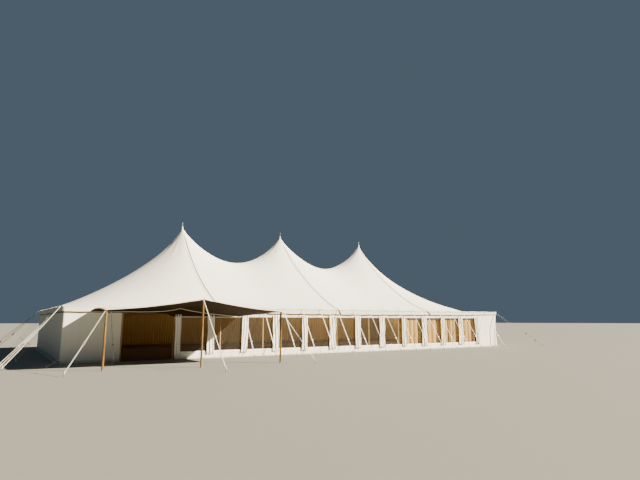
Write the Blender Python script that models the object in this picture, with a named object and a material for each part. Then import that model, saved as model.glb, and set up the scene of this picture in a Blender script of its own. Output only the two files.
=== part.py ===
"""Traditional pole marquee tent: a canvas roof drawn up over three king poles, hung walls with clear
windows along the front, a porch awning at the doorway, and webbing guys down to ground stakes.

Metres, +Z up. The origin is on the ground under the middle king pole, +X runs along the ridge towards
the right end, and the doorway is in the front wall, on the -Y side.
"""

import math

import bmesh
import bpy
from mathutils import Matrix, Vector
from mathutils.bvhtree import BVHTree

# Main sizes, over the walls
HALL_LENGTH = 24.40
HALL_WIDTH = 12.20
EAVE_HEIGHT = 2.10
ROOF_RISE = 4.55
KING_POLES = 3
EAVE_OVERHANG = 0.05
WALL_BELOW_EAVE = 0.05
VALANCE_DROP = 0.26

# Stretched form of the roof: how the rise falls away from a peak along the ridge and down each seam,
# and how the ridge hangs between peaks
TIP_POWER = 0.8
FALL_POWER = 1.33
SEAM_FALL_POWERS = (1.33, 1.20, 1.28)
SADDLE_SHARE = 0.57
RIDGE_ROUNDING = 0.2
PEAK_REACH_IN_BAYS = 1.31
BLEND_POWER = 5

# The same down the middle of an end bay, and how square its level lines are, from the peak to the eave
END_TIP_POWER = 0.73
END_FALL_POWER = 1.20
SQUARENESS_AT_PEAK = 1.5
SQUARENESS_AT_EAVE = 2.8
SQUARENESS_GROWTH = 1.85

# Cloth thicknesses, thicker than woven canvas so that they close as solids
CANVAS = 0.020
STEEPEST_THICKENING = 3.0
WALL_THICKNESS = 0.020
VALANCE_THICKNESS = 0.012
WINDOW_FILM = 0.004
MATTING = 0.020
TOUCH = 0.0003

# Mesh of the canopy
END_SEGMENTS = 10
BAY_SEGMENTS = 12
CROWDING = 1.5

# Poles
KING_POLE_RADIUS = 0.060
KING_PLATE_SIZE = 0.300
KING_PLATE_THICKNESS = 0.012
KING_PIN_RADIUS = 0.012
KING_PIN_ABOVE = 0.25
KING_PIN_CLEARANCE = 0.004
SIDE_POLE_RADIUS = 0.030
SIDE_POLES_PER_BAY = 3
WALL_ROPE = 0.014
WALL_ROPE_BELOW_EAVE = 0.12
PORCH_POLE_RADIUS = 0.035

# Front wall, whose doorway starts at the first side pole
DOOR_WIDTH = 2.100
PLAIN_RIGHT_WIDTH = 1.667
WINDOWS_PER_SECTION = 4
WINDOW_SECTIONS = 3
STRIP_WIDTH = 0.400
WINDOW_SILL = 0.300
WINDOW_BELOW_TOP = 0.360
FILM_MARGIN = 0.060

# Webbing guys and stakes
WEBBING_WIDTH = 0.050
WEBBING_THICKNESS = 0.006
GUYS_PER_BAY = 6
GUY_REACH = 1.25
GUY_BEFORE_DOOR = 0.433
CORNER_REACH = 2.63
CORNER_STRAPS = 3
CORNER_ANGLE = 49
CORNER_FAN = 7
CORNER_BAND = 0.36
CORNER_LOOP = 0.045
CORNER_LOOP_DEPTH = 0.016
CORNER_STRAP_SPACING = 0.10
STAKE_RADIUS = 0.014
STAKE_HEIGHT = 0.16
STRAP_ON_STAKE = 0.10
BAND_BELOW_EAVE = 0.005
RATCHET_LENGTH = 0.160
RATCHET_WIDTH = 0.070
RATCHET_DEPTH = 0.040
RATCHET_PLACE = 0.55

# Porch awning, its start measured along X from the left corner and its depths from the front wall
PORCH_START = 0.80
PORCH_WIDTH = 6.20
PORCH_APEX_TO_LEFT = 0.10
PORCH_LEFT_DEPTH = 3.62
PORCH_APEX_DEPTH = 4.22
PORCH_RIGHT_DEPTH = 3.92
PORCH_CORNER_BELOW_EAVE = 0.20
PORCH_APEX_ABOVE_EAVE = 0.17
PORCH_EDGE_SAG = 0.05
PORCH_SIDE_ARCH = 0.08
PORCH_CLOTH = 0.015
PORCH_SEGMENTS_ACROSS = 16
PORCH_SEGMENTS_OUT = 8
PORCH_REAR_BELOW_BAND = 0.005
PORCH_POLE_INSET = 0.06
PORCH_POLE_SIDES = 24
PORCH_LEFT_GUY_REACH = 1.70
PORCH_APEX_GUY_REACH = 1.85
PORCH_RIGHT_GUY_REACH = 1.35
PORCH_GUY_BELOW_HEAD = 0.03
PORCH_LEFT_GUY_ANGLE = 226
PORCH_APEX_GUY_ANGLE = 274
PORCH_RIGHT_GUY_ANGLE = 314

RIGHT = HALL_LENGTH / 2
LEFT = -RIGHT
BACK = HALL_WIDTH / 2
FRONT = -BACK
BAY = HALL_LENGTH / (KING_POLES + 1)
KING_POLE_PLACES = [LEFT + BAY * (i + 1) for i in range(KING_POLES)]
OUTER_POLE = RIGHT - BAY
PEAK_HEIGHT = EAVE_HEIGHT + ROOF_RISE
PEAK_REACH = BAY * PEAK_REACH_IN_BAYS
EAVE_HALF_LENGTH = RIGHT + EAVE_OVERHANG
EAVE_HALF_WIDTH = BACK + EAVE_OVERHANG
WALL_HEIGHT = EAVE_HEIGHT - WALL_BELOW_EAVE
HALF_WALL = WALL_THICKNESS / 2
BACK_POLE_LINE = BACK - HALF_WALL - TOUCH - SIDE_POLE_RADIUS
FRONT_POLE_LINE = BACK_POLE_LINE - WINDOW_FILM - TOUCH
END_POLE_LINE = RIGHT - HALF_WALL - TOUCH - SIDE_POLE_RADIUS


# Scene, collections and materials

for old in list(bpy.data.objects):
    bpy.data.objects.remove(old, do_unlink=True)

tent = bpy.data.collections.new("marquee_tent")
bpy.context.scene.collection.children.link(tent)
cutters = bpy.data.collections.new("cutters")
bpy.context.scene.collection.children.link(cutters)
cutters.hide_render = True


def material(name, colour, roughness, metallic=0.0, alpha=1.0):
    made = bpy.data.materials.new(name)
    made.use_nodes = True
    shader = made.node_tree.nodes["Principled BSDF"]
    shader.inputs["Base Color"].default_value = (*colour, 1.0)
    shader.inputs["Roughness"].default_value = roughness
    shader.inputs["Metallic"].default_value = metallic
    shader.inputs["Alpha"].default_value = alpha
    made.diffuse_color = (*colour, alpha)
    return made


CANVAS_MATERIAL = material("ivory_canvas", (0.86, 0.83, 0.76), 0.85)
WALL_MATERIAL = material("white_walling", (0.84, 0.84, 0.80), 0.75)
FILM_MATERIAL = material("clear_film", (0.55, 0.50, 0.42), 0.10, alpha=0.35)
KING_MATERIAL = material("king_pole_wood", (0.46, 0.31, 0.16), 0.45)
POLE_MATERIAL = material("side_pole_wood", (0.62, 0.43, 0.22), 0.50)
WEBBING_MATERIAL = material("white_webbing", (0.80, 0.79, 0.74), 0.80)
MATTING_MATERIAL = material("coir_matting", (0.36, 0.25, 0.13), 0.95)
AWNING_MATERIAL = material("awning_canvas", (0.80, 0.77, 0.70), 0.85)


# Helpers


def link_object(name, mesh, surface, smooth=False):
    made = bpy.data.objects.new(name, mesh)
    mesh.materials.append(surface)
    tent.objects.link(made)
    if smooth:
        mesh.shade_smooth()
        mesh.set_sharp_from_angle(angle=math.radians(40))
    return made


def mesh_from(bm, name):
    bmesh.ops.recalc_face_normals(bm, faces=bm.faces)
    mesh = bpy.data.meshes.new(name)
    bm.to_mesh(mesh)
    bm.free()
    return mesh


def add_box(bm, low, high):
    """Adds a box between two corners."""
    size = [b - a for a, b in zip(low, high)]
    middle = [(a + b) / 2 for a, b in zip(low, high)]
    place = Matrix.Translation(middle) @ Matrix.Diagonal((*size, 1.0))
    bmesh.ops.create_cube(bm, size=1.0, matrix=place)


def add_bar(bm, start, end, width, depth, across):
    """Adds a flat bar between two points, its width lying along the direction across."""
    start, end = Vector(start), Vector(end)
    run = end - start
    ahead = run.normalized()
    side = (Vector(across) - ahead * ahead.dot(Vector(across))).normalized()
    normal = ahead.cross(side)
    turn = Matrix((side, normal, ahead)).transposed().to_4x4()
    place = Matrix.Translation((start + end) / 2) @ turn
    bmesh.ops.create_cube(bm, size=1.0, matrix=place @ Matrix.Diagonal((width, depth, run.length, 1.0)))


def add_post(bm, foot, head, radius, sides=12):
    """Adds a round post between two points."""
    foot, head = Vector(foot), Vector(head)
    run = head - foot
    turn = run.to_track_quat("Z", "Y").to_matrix().to_4x4()
    place = Matrix.Translation((foot + head) / 2) @ turn
    bmesh.ops.create_cone(
        bm, cap_ends=True, segments=sides, radius1=radius, radius2=radius, depth=run.length, matrix=place
    )


def helper_object(name, bm):
    made = bpy.data.objects.new(name, mesh_from(bm, name))
    made.hide_render = True
    made.display_type = "WIRE"
    cutters.objects.link(made)
    return made


def fused(name, groups, surface):
    """One solid from groups of shapes: shapes of one group lie apart, and meet those of groups before."""
    body = link_object(name, mesh_from(groups[0], name), surface)
    for number, group in enumerate(group for group in groups[1:] if group.verts):
        joint = body.modifiers.new(f"join_{number}", "BOOLEAN")
        joint.operation = "UNION"
        joint.solver = "EXACT"
        joint.object = helper_object(f"{name}_joined_{number}", group)


def cut(body, name, bm):
    cutting = body.modifiers.new(name, "BOOLEAN")
    cutting.operation = "DIFFERENCE"
    cutting.solver = "EXACT"
    cutting.object = helper_object(f"{body.name}_{name}", bm)


# Form of the canopy


def fall(share, tip_power=TIP_POWER, fall_power=FALL_POWER):
    """Share of the rise left at this share of the way from a peak to the eave."""
    return (1 - min(share, 1.0) ** tip_power) ** fall_power


def saddle(share):
    """The same across the middle of a bay, where the ridge is low and rounded."""
    rounded = math.hypot(share, RIDGE_ROUNDING) - RIDGE_ROUNDING
    whole = math.hypot(1.0, RIDGE_ROUNDING) - RIDGE_ROUNDING
    return SADDLE_SHARE * (1 - min(rounded / whole, 1.0)) ** FALL_POWER


def end_rise(along, across, seam_power):
    """Share of the rise in an end bay: level lines grow squarer from the peak out to the eave."""
    growth = min(math.hypot(along, across), 1.0) ** SQUARENESS_GROWTH
    squareness = SQUARENESS_AT_PEAK + (SQUARENESS_AT_EAVE - SQUARENESS_AT_PEAK) * growth
    total = along**squareness + across**squareness
    if total == 0:
        return 1.0
    middle = along**squareness / total
    tip_power = TIP_POWER + (END_TIP_POWER - TIP_POWER) * middle
    fall_power = seam_power + (END_FALL_POWER - seam_power) * middle
    return fall(total ** (1 / squareness), tip_power, fall_power)


def canopy_height(x, y):
    across = min(abs(y) / EAVE_HALF_WIDTH, 1.0)
    beyond = (abs(x) - OUTER_POLE) / (EAVE_HALF_LENGTH - OUTER_POLE)
    if beyond > 0:
        rise = end_rise(beyond, across, SEAM_FALL_POWERS[0 if x < 0 else -1])
    else:
        total = saddle(across) ** BLEND_POWER
        for number, place in enumerate(KING_POLE_PLACES):
            reach = math.hypot((x - place) / PEAK_REACH, across)
            if reach < 1:
                seam_power = SEAM_FALL_POWERS[number % len(SEAM_FALL_POWERS)]
                sideways = (across / reach) ** 2 if reach else 0.0
                fall_power = FALL_POWER + (seam_power - FALL_POWER) * sideways
                near_peak = fall(reach, TIP_POWER, fall_power)
                total += max(near_peak**BLEND_POWER - saddle(reach) ** BLEND_POWER, 0.0)
        rise = min(total ** (1 / BLEND_POWER), 1.0)
    return EAVE_HEIGHT + ROOF_RISE * rise


def canopy_drop(x, y, inward):
    """Upright thickness of the canvas, more where it is steep. The slope is taken on the inward side."""
    if canopy_height(x, y) - EAVE_HEIGHT < TOUCH:
        return CANVAS
    step = 0.02
    near_x = x + inward * step
    near_y = y - math.copysign(step, y) if y else step
    slope_x = (canopy_height(near_x, y) - canopy_height(x, y)) / step
    slope_y = (canopy_height(x, near_y) - canopy_height(x, y)) / step
    return CANVAS * min(math.sqrt(1 + slope_x**2 + slope_y**2), STEEPEST_THICKENING)


def crowd_to_start(share):
    """Spaces the lines of a grid closer at its start, where a king pole stands."""
    return share**CROWDING


def crowd_to_end(share):
    return 1 - crowd_to_start(1 - share)


def crowd_to_both(share):
    return crowd_to_start(2 * share) / 2 if share < 0.5 else (1 + crowd_to_end(2 * share - 1)) / 2


canopy_trees = []


def canopy_section(name, start, end, segments, spacing):
    """A laced section of the canopy: a grid lifted to the stretched form, then given its thickness."""
    middle = (start + end) / 2
    bm = bmesh.new()
    bmesh.ops.create_grid(bm, x_segments=segments, y_segments=2 * END_SEGMENTS, size=0.5)
    for vert in bm.verts:
        x = start + (end - start) * spacing(round(vert.co.x + 0.5, 6))
        share = round(2 * vert.co.y, 6)
        y = math.copysign(abs(share) ** CROWDING * EAVE_HALF_WIDTH, share)
        vert.co = (x, y, canopy_height(x, y))
    bmesh.ops.triangulate(bm, faces=bm.faces, quad_method="SHORT_EDGE")
    under = bmesh.ops.extrude_face_region(bm, geom=list(bm.faces), use_keep_orig=True)
    for vert in [item for item in under["geom"] if isinstance(item, bmesh.types.BMVert)]:
        inward = 1 if vert.co.x < middle else -1
        vert.co.z -= canopy_drop(vert.co.x, vert.co.y, inward)
    bmesh.ops.recalc_face_normals(bm, faces=bm.faces)
    canopy_trees.append(BVHTree.FromBMesh(bm))
    body = link_object(name, mesh_from(bm, name), CANVAS_MATERIAL, smooth=True)
    for number, pole in enumerate(KING_POLE_PLACES):
        if min(abs(pole - start), abs(pole - end)) < KING_PIN_RADIUS:
            hole = bmesh.new()
            low = (pole, 0.0, PEAK_HEIGHT - 1.0)
            high = (pole, 0.0, PEAK_HEIGHT + 1.0)
            add_post(hole, low, high, KING_PIN_RADIUS + KING_PIN_CLEARANCE)
            cut(body, f"pin_hole_{number}", hole)
    return body


def height_under(trees, x, y, radius):
    """Highest level that a flat round head can reach under the cloth."""
    lowest = PEAK_HEIGHT
    for step in range(24):
        angle = math.tau * step / 24
        start = Vector((x + radius * math.cos(angle), y + radius * math.sin(angle), 0.0))
        for tree in trees:
            found = tree.ray_cast(start, Vector((0, 0, 1)))[0]
            if found:
                lowest = min(lowest, found.z)
    return lowest - TOUCH


seams = [-EAVE_HALF_LENGTH, *KING_POLE_PLACES, EAVE_HALF_LENGTH]
sections = (
    ("left_end", END_SEGMENTS, crowd_to_end),
    ("left_bay", BAY_SEGMENTS, crowd_to_both),
    ("right_bay", BAY_SEGMENTS, crowd_to_both),
    ("right_end", END_SEGMENTS, crowd_to_start),
)
for (name, segments, spacing), start, end in zip(sections, seams, seams[1:]):
    canopy_section(f"canopy_{name}", start + (TOUCH if start > seams[0] else 0.0), end, segments, spacing)


# Valances, hung from the edge of the canopy


def valance(name, low_x, high_x, low_y, high_y):
    bm = bmesh.new()
    top = EAVE_HEIGHT - CANVAS - TOUCH
    add_box(bm, (low_x, low_y, EAVE_HEIGHT - VALANCE_DROP), (high_x, high_y, top))
    link_object(name, mesh_from(bm, name), CANVAS_MATERIAL)


inner_edge = EAVE_HALF_WIDTH - VALANCE_THICKNESS
valance("valance_front", -EAVE_HALF_LENGTH, EAVE_HALF_LENGTH, -EAVE_HALF_WIDTH, -inner_edge)
valance("valance_back", -EAVE_HALF_LENGTH, EAVE_HALF_LENGTH, inner_edge, EAVE_HALF_WIDTH)
for name, side in (("valance_left", -1), ("valance_right", 1)):
    edges = sorted((side * EAVE_HALF_LENGTH, side * (EAVE_HALF_LENGTH - VALANCE_THICKNESS)))
    valance(name, *edges, -(inner_edge - TOUCH), inner_edge - TOUCH)


# Walls


def wall_slab(name, low_x, high_x, low_y, high_y):
    bm = bmesh.new()
    add_box(bm, (low_x, low_y, 0.0), (high_x, high_y, WALL_HEIGHT))
    return link_object(name, mesh_from(bm, name), WALL_MATERIAL)


DOOR_LEFT = LEFT + BAY / SIDE_POLES_PER_BAY
DOOR_RIGHT = DOOR_LEFT + DOOR_WIDTH
WINDOWS_END = RIGHT - PLAIN_RIGHT_WIDTH
SECTION_WIDTH = (WINDOWS_END - DOOR_RIGHT) / WINDOW_SECTIONS
PANEL_WIDTH = SECTION_WIDTH / WINDOWS_PER_SECTION
WINDOW_WIDTH = PANEL_WIDTH - STRIP_WIDTH
WINDOW_HEAD = WALL_HEIGHT - WINDOW_BELOW_TOP

wall_slab("front_wall_left", LEFT - HALF_WALL, DOOR_LEFT, FRONT - HALF_WALL, FRONT + HALF_WALL)
wall_slab("front_wall_right", WINDOWS_END + TOUCH, RIGHT + HALF_WALL, FRONT - HALF_WALL, FRONT + HALF_WALL)

for number, name in enumerate(("left", "middle", "right")):
    low = DOOR_RIGHT + SECTION_WIDTH * number + (TOUCH if number else 0.0)
    high = DOOR_RIGHT + SECTION_WIDTH * (number + 1)
    section = wall_slab(f"window_wall_{name}", low, high, FRONT - HALF_WALL, FRONT + HALF_WALL)
    windows = bmesh.new()
    for panel in range(WINDOWS_PER_SECTION):
        centre = DOOR_RIGHT + SECTION_WIDTH * number + PANEL_WIDTH * (panel + 0.5)
        add_box(
            windows,
            (centre - WINDOW_WIDTH / 2, FRONT - WALL_THICKNESS, WINDOW_SILL),
            (centre + WINDOW_WIDTH / 2, FRONT + WALL_THICKNESS, WINDOW_HEAD),
        )
    cut(section, "windows", windows)
    film = bmesh.new()
    back = FRONT + HALF_WALL + TOUCH
    margin = STRIP_WIDTH / 2 - FILM_MARGIN
    add_box(
        film,
        (low + margin, back, WINDOW_SILL - FILM_MARGIN),
        (high - margin, back + WINDOW_FILM, WINDOW_HEAD + FILM_MARGIN),
    )
    link_object(f"window_film_{name}", mesh_from(film, f"window_film_{name}"), FILM_MATERIAL)

wall_slab("back_wall", LEFT - HALF_WALL, RIGHT + HALF_WALL, BACK - HALF_WALL, BACK + HALF_WALL)

for name, side in (("left_wall", -1), ("right_wall", 1)):
    edges = sorted((side * (RIGHT - HALF_WALL), side * (RIGHT + HALF_WALL)))
    inside = BACK - HALF_WALL - TOUCH
    wall_slab(name, *edges, -inside, inside)


# Poles


def king_pole(name, x):
    head = height_under(canopy_trees, x, 0.0, KING_POLE_RADIUS)
    floor = MATTING + TOUCH
    half = KING_PLATE_SIZE / 2
    plate, post, pin = bmesh.new(), bmesh.new(), bmesh.new()
    add_box(plate, (x - half, -half, floor), (x + half, half, floor + KING_PLATE_THICKNESS))
    add_post(post, (x, 0, floor + KING_PLATE_THICKNESS / 2), (x, 0, head), KING_POLE_RADIUS, sides=16)
    add_post(pin, (x, 0, head - KING_POLE_RADIUS), (x, 0, PEAK_HEIGHT + KING_PIN_ABOVE), KING_PIN_RADIUS)
    fused(name, [plate, post, pin], KING_MATERIAL)


def side_poles(name, places):
    """A row of poles under the eave, strung together by the rope that the walls hang from."""
    poles, rope = bmesh.new(), bmesh.new()
    for x, y in places:
        head = height_under(canopy_trees, x, y, SIDE_POLE_RADIUS)
        add_post(poles, (x, y, 0.0), (x, y, head), SIDE_POLE_RADIUS)
    level = EAVE_HEIGHT - WALL_ROPE_BELOW_EAVE
    start, end = Vector((*places[0], level)), Vector((*places[-1], level))
    add_post(rope, start, end, WALL_ROPE / 2, sides=8)
    fused(name, [poles, rope], POLE_MATERIAL)


def spread_evenly(start, end, steps):
    return [start + (end - start) * i / steps for i in range(steps + 1)]


for name, x in zip(("left", "middle", "right"), KING_POLE_PLACES):
    king_pole(f"king_pole_{name}", x)

pole_places = []
for low, high in zip(seams, seams[1:]):
    low, high = max(low, -END_POLE_LINE), min(high, END_POLE_LINE)
    pole_places += spread_evenly(low, high, SIDE_POLES_PER_BAY)[:-1]
pole_places.append(END_POLE_LINE)
before_door = [x for x in pole_places if x < (DOOR_LEFT + DOOR_RIGHT) / 2]
past_door = [x for x in pole_places if x > (DOOR_LEFT + DOOR_RIGHT) / 2]
side_poles("front_poles_left", [(x, -FRONT_POLE_LINE) for x in before_door])
side_poles("front_poles_right", [(x, -FRONT_POLE_LINE) for x in past_door])
side_poles("back_poles", [(x, BACK_POLE_LINE) for x in pole_places])
end_places = spread_evenly(FRONT, BACK, 2 * SIDE_POLES_PER_BAY)[1:-1]
side_poles("left_end_poles", [(-END_POLE_LINE, y) for y in end_places])
side_poles("right_end_poles", [(END_POLE_LINE, y) for y in end_places])


# Floor matting, laid between the rows of side poles

matting = bmesh.new()
mat_side = SIDE_POLE_RADIUS + TOUCH
add_box(
    matting,
    (-(END_POLE_LINE - mat_side), -(FRONT_POLE_LINE - mat_side), 0.0),
    (END_POLE_LINE - mat_side, BACK_POLE_LINE - mat_side, MATTING),
)
link_object("coir_matting", mesh_from(matting, "coir_matting"), MATTING_MATERIAL)


# Guys: an eave band with its webbing straps, each looped on a stake

BAND_TOP = EAVE_HEIGHT - BAND_BELOW_EAVE
BAND_LEVEL = BAND_TOP - WEBBING_WIDTH / 2
BAND_OFFSET = TOUCH + WEBBING_THICKNESS / 2


def strap_to(shapes, stakes, start, stake, ratchets=None):
    """A strap from start down to a stake, with a ratchet tensioner where one is fitted."""
    end = Vector((*stake, STRAP_ON_STAKE))
    run = end - Vector(start)
    across = (run.y, -run.x, 0.0)
    add_bar(shapes, start, end, WEBBING_WIDTH, WEBBING_THICKNESS, across)
    add_post(stakes, (*stake, 0.0), (*stake, STAKE_HEIGHT), STAKE_RADIUS, sides=8)
    if ratchets is not None:
        middle = Vector(start) + run * RATCHET_PLACE
        half = run.normalized() * RATCHET_LENGTH / 2
        add_bar(ratchets, middle - half, middle + half, RATCHET_WIDTH, RATCHET_DEPTH, across)


def eave_band(start, end):
    band = bmesh.new()
    add_bar(band, start, end, WEBBING_WIDTH, WEBBING_THICKNESS, (0, 0, 1))
    return band


def guy_row(name, start, end, outward, places):
    """The eave band along one side and its straps. The places are straight points of the band."""
    straps, stakes = bmesh.new(), bmesh.new()
    band = eave_band(Vector((*start, BAND_LEVEL)), Vector((*end, BAND_LEVEL)))
    for x, y in places:
        stake = (x + outward[0] * GUY_REACH, y + outward[1] * GUY_REACH)
        strap_to(straps, stakes, (x, y, BAND_LEVEL), stake)
    fused(name, [band, straps, stakes], WEBBING_MATERIAL)


def corner_guys(name, side, depth):
    """Longer straps with ratchets that fan out from loops on a short band at one corner."""
    loops, straps, ratchets = bmesh.new(), bmesh.new(), bmesh.new()
    corner = Vector((side * end_line, depth * EAVE_HALF_WIDTH, BAND_LEVEL))
    band = eave_band(corner, corner - Vector((0.0, depth * CORNER_BAND, 0.0)))
    first = (CORNER_BAND - CORNER_STRAP_SPACING * (CORNER_STRAPS - 1)) / 2
    for number in range(CORNER_STRAPS):
        hook = corner - Vector((0.0, depth * (first + CORNER_STRAP_SPACING * number), 0.0))
        start = hook + Vector((side * CORNER_LOOP, 0.0, 0.0))
        add_bar(loops, hook, start, WEBBING_WIDTH, CORNER_LOOP_DEPTH, (0, 1, 0))
        turn = math.radians(CORNER_ANGLE - CORNER_FAN * number)
        stake = start + CORNER_REACH * Vector((side * math.cos(turn), depth * math.sin(turn), 0.0))
        strap_to(straps, loops, start, stake.xy, ratchets)
    fused(name, [band, straps, loops, ratchets], WEBBING_MATERIAL)


def guy_places(edges):
    """Places along a side, spaced evenly between each pair of edges."""
    found = []
    for low, high in zip(edges, edges[1:]):
        found += spread_evenly(low, high, GUYS_PER_BAY)[:-1]
    return found[1:]


front_line = EAVE_HALF_WIDTH + BAND_OFFSET
end_line = EAVE_HALF_LENGTH + BAND_OFFSET
long_side = guy_places([LEFT, *KING_POLE_PLACES, RIGHT])
back_places = [(x, front_line) for x in long_side]
guy_row("back_guys", (-EAVE_HALF_LENGTH, front_line), (EAVE_HALF_LENGTH, front_line), (0, 1), back_places)

porch_end = LEFT + PORCH_START + PORCH_WIDTH
for name, low, high, held in (
    ("front_guys_left", -EAVE_HALF_LENGTH, DOOR_LEFT, [DOOR_LEFT - GUY_BEFORE_DOOR]),
    ("front_band_over_porch", DOOR_LEFT + TOUCH, porch_end, []),
    ("front_guys_right", porch_end + TOUCH, EAVE_HALF_LENGTH, [x for x in long_side if x > porch_end]),
):
    places = [(x, -front_line) for x in held]
    guy_row(name, (low, -front_line), (high, -front_line), (0, -1), places)

short_side = guy_places([FRONT, 0.0, BACK])
band_end = EAVE_HALF_WIDTH - CORNER_BAND - TOUCH
for name, side in (("left", -1), ("right", 1)):
    x = side * end_line
    guy_row(f"{name}_end_guys", (x, -band_end), (x, band_end), (side, 0), [(x, y) for y in short_side])
    corner_guys(f"corner_guys_front_{name}", side, -1)
    corner_guys(f"corner_guys_back_{name}", side, 1)


# Porch awning, its poles and their guys


def porch_edge(across):
    """Depth and height of the awning's front edge, across it from -1 at the left corner to 1."""
    side_depth = PORCH_LEFT_DEPTH if across < 0 else PORCH_RIGHT_DEPTH
    towards_apex = 1 - abs(across)
    depth = side_depth + (PORCH_APEX_DEPTH - side_depth) * towards_apex
    corner_height = EAVE_HEIGHT - PORCH_CORNER_BELOW_EAVE
    height = corner_height + (PORCH_CORNER_BELOW_EAVE + PORCH_APEX_ABOVE_EAVE) * towards_apex
    return depth, height - PORCH_EDGE_SAG * 4 * towards_apex * (1 - towards_apex)


def porch_point(across, out):
    depth, front_height = porch_edge(across)
    rear = front_line + WEBBING_THICKNESS / 2 + TOUCH
    rear_height = BAND_TOP - PORCH_REAR_BELOW_BAND
    arch = PORCH_SIDE_ARCH * math.sin(math.pi * out) * across**2
    x = LEFT + PORCH_START + PORCH_WIDTH * (1 + across) / 2
    x -= PORCH_APEX_TO_LEFT * (1 - abs(across)) * out
    y = -(rear + (depth + BACK - rear) * out)
    return Vector((x, y, rear_height + (front_height - rear_height) * out + arch))


awning = bmesh.new()
bmesh.ops.create_grid(awning, x_segments=PORCH_SEGMENTS_ACROSS, y_segments=PORCH_SEGMENTS_OUT, size=0.5)
for vert in awning.verts:
    vert.co = porch_point(round(2 * vert.co.x, 6), round(vert.co.y + 0.5, 6))
bmesh.ops.triangulate(awning, faces=awning.faces, quad_method="SHORT_EDGE")
under = bmesh.ops.extrude_face_region(awning, geom=list(awning.faces), use_keep_orig=True)
lower = [item for item in under["geom"] if isinstance(item, bmesh.types.BMVert)]
bmesh.ops.translate(awning, verts=lower, vec=(0, 0, -PORCH_CLOTH))
bmesh.ops.recalc_face_normals(awning, faces=awning.faces)
awning_tree = BVHTree.FromBMesh(awning)
link_object("porch_awning", mesh_from(awning, "porch_awning"), AWNING_MATERIAL, smooth=True)

porch_poles = (
    ("left", -1, PORCH_LEFT_GUY_ANGLE, PORCH_LEFT_GUY_REACH),
    ("apex", 0, PORCH_APEX_GUY_ANGLE, PORCH_APEX_GUY_REACH),
    ("right", 1, PORCH_RIGHT_GUY_ANGLE, PORCH_RIGHT_GUY_REACH),
)
for name, across, angle, guy_reach in porch_poles:
    corner = porch_point(across, 1.0)
    x = corner.x - across * PORCH_POLE_INSET
    y = corner.y + PORCH_POLE_INSET
    head = height_under([awning_tree], x, y, PORCH_POLE_RADIUS)
    pole = bmesh.new()
    add_post(pole, (x, y, 0.0), (x, y, head), PORCH_POLE_RADIUS, sides=PORCH_POLE_SIDES)
    link_object(f"porch_pole_{name}", mesh_from(pole, f"porch_pole_{name}"), POLE_MATERIAL, smooth=True)

    away = Vector((math.cos(math.radians(angle)), math.sin(math.radians(angle)), 0.0))
    stake = Vector((x, y, 0.0)) + away * guy_reach
    top = head - PORCH_GUY_BELOW_HEAD
    lean = math.atan2(top - STRAP_ON_STAKE, guy_reach)
    clear = PORCH_POLE_RADIUS + TOUCH + WEBBING_THICKNESS / 2 * math.sin(lean)
    strap, stakes, ratchet = bmesh.new(), bmesh.new(), bmesh.new()
    strap_to(strap, stakes, Vector((x, y, top)) + away * clear, stake.xy, ratchet)
    fused(f"porch_guy_{name}", [strap, stakes, ratchet], WEBBING_MATERIAL)
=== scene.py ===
import functools
import math
import random

import bmesh
import bpy
from mathutils import Matrix, Vector, noise


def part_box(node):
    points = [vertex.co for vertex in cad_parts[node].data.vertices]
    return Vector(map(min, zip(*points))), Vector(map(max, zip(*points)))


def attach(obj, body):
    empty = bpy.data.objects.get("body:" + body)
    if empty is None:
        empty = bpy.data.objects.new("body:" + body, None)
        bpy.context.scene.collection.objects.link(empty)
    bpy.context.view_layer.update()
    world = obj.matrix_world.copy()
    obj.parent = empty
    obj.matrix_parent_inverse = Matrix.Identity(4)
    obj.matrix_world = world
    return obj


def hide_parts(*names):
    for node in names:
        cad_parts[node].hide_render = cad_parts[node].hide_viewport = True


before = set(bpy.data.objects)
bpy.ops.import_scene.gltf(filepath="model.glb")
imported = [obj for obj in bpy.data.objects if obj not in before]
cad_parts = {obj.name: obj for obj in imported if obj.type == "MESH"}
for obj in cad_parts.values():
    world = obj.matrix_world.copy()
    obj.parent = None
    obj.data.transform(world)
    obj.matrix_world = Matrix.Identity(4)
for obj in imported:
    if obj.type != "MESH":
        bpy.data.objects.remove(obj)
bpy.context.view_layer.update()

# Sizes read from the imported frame, in metres
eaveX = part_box("valance_front")[1].x
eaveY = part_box("valance_back")[1].y
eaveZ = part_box("canopy_left_end")[0].z + 0.020
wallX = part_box("right_wall")[1].x - 0.010
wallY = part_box("back_wall")[1].y - 0.010
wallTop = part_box("back_wall")[1].z
kingPlaces = [sum(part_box("king_pole_" + side), Vector()).x / 2 for side in ("left", "middle", "right")]
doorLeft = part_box("front_wall_left")[1].x
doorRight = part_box("window_wall_left")[0].x
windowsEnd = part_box("window_wall_right")[1].x
bay = kingPlaces[2] - kingPlaces[1]
guySpacing = bay / 6
poleSpacing = bay / 3


# Helpers
half = Vector((0.5, 0.5))  # from the middle of a unit grid to its corner
tapeThickness = 0.003


def linear(hexText):
    # sRGB hex to linear light
    values = [int(hexText[i : i + 2], 16) / 255 for i in (1, 3, 5)]
    return [v / 12.92 if v <= 0.04045 else ((v + 0.055) / 1.055) ** 2.4 for v in values] + [1.0]


def setInputs(node, inputs):
    # a socket, or a node's first live output, is linked; a hex colour turns linear; other values are set
    for key, value in inputs.items():
        if isinstance(value, bpy.types.Node):
            value = next(socket for socket in value.outputs if socket.enabled)
        if isinstance(value, bpy.types.NodeSocket):
            node.id_data.links.new(value, node.inputs[key])
        else:
            node.inputs[key].default_value = linear(value) if isinstance(value, str) else value


def addNode(tree, kind, inputs=None, **settings):
    # one node with its settings, values and links
    node = tree.nodes.new("ShaderNode" + kind)
    for name, value in settings.items():
        setattr(node, name, value)
    setInputs(node, inputs or {})
    return node


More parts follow.
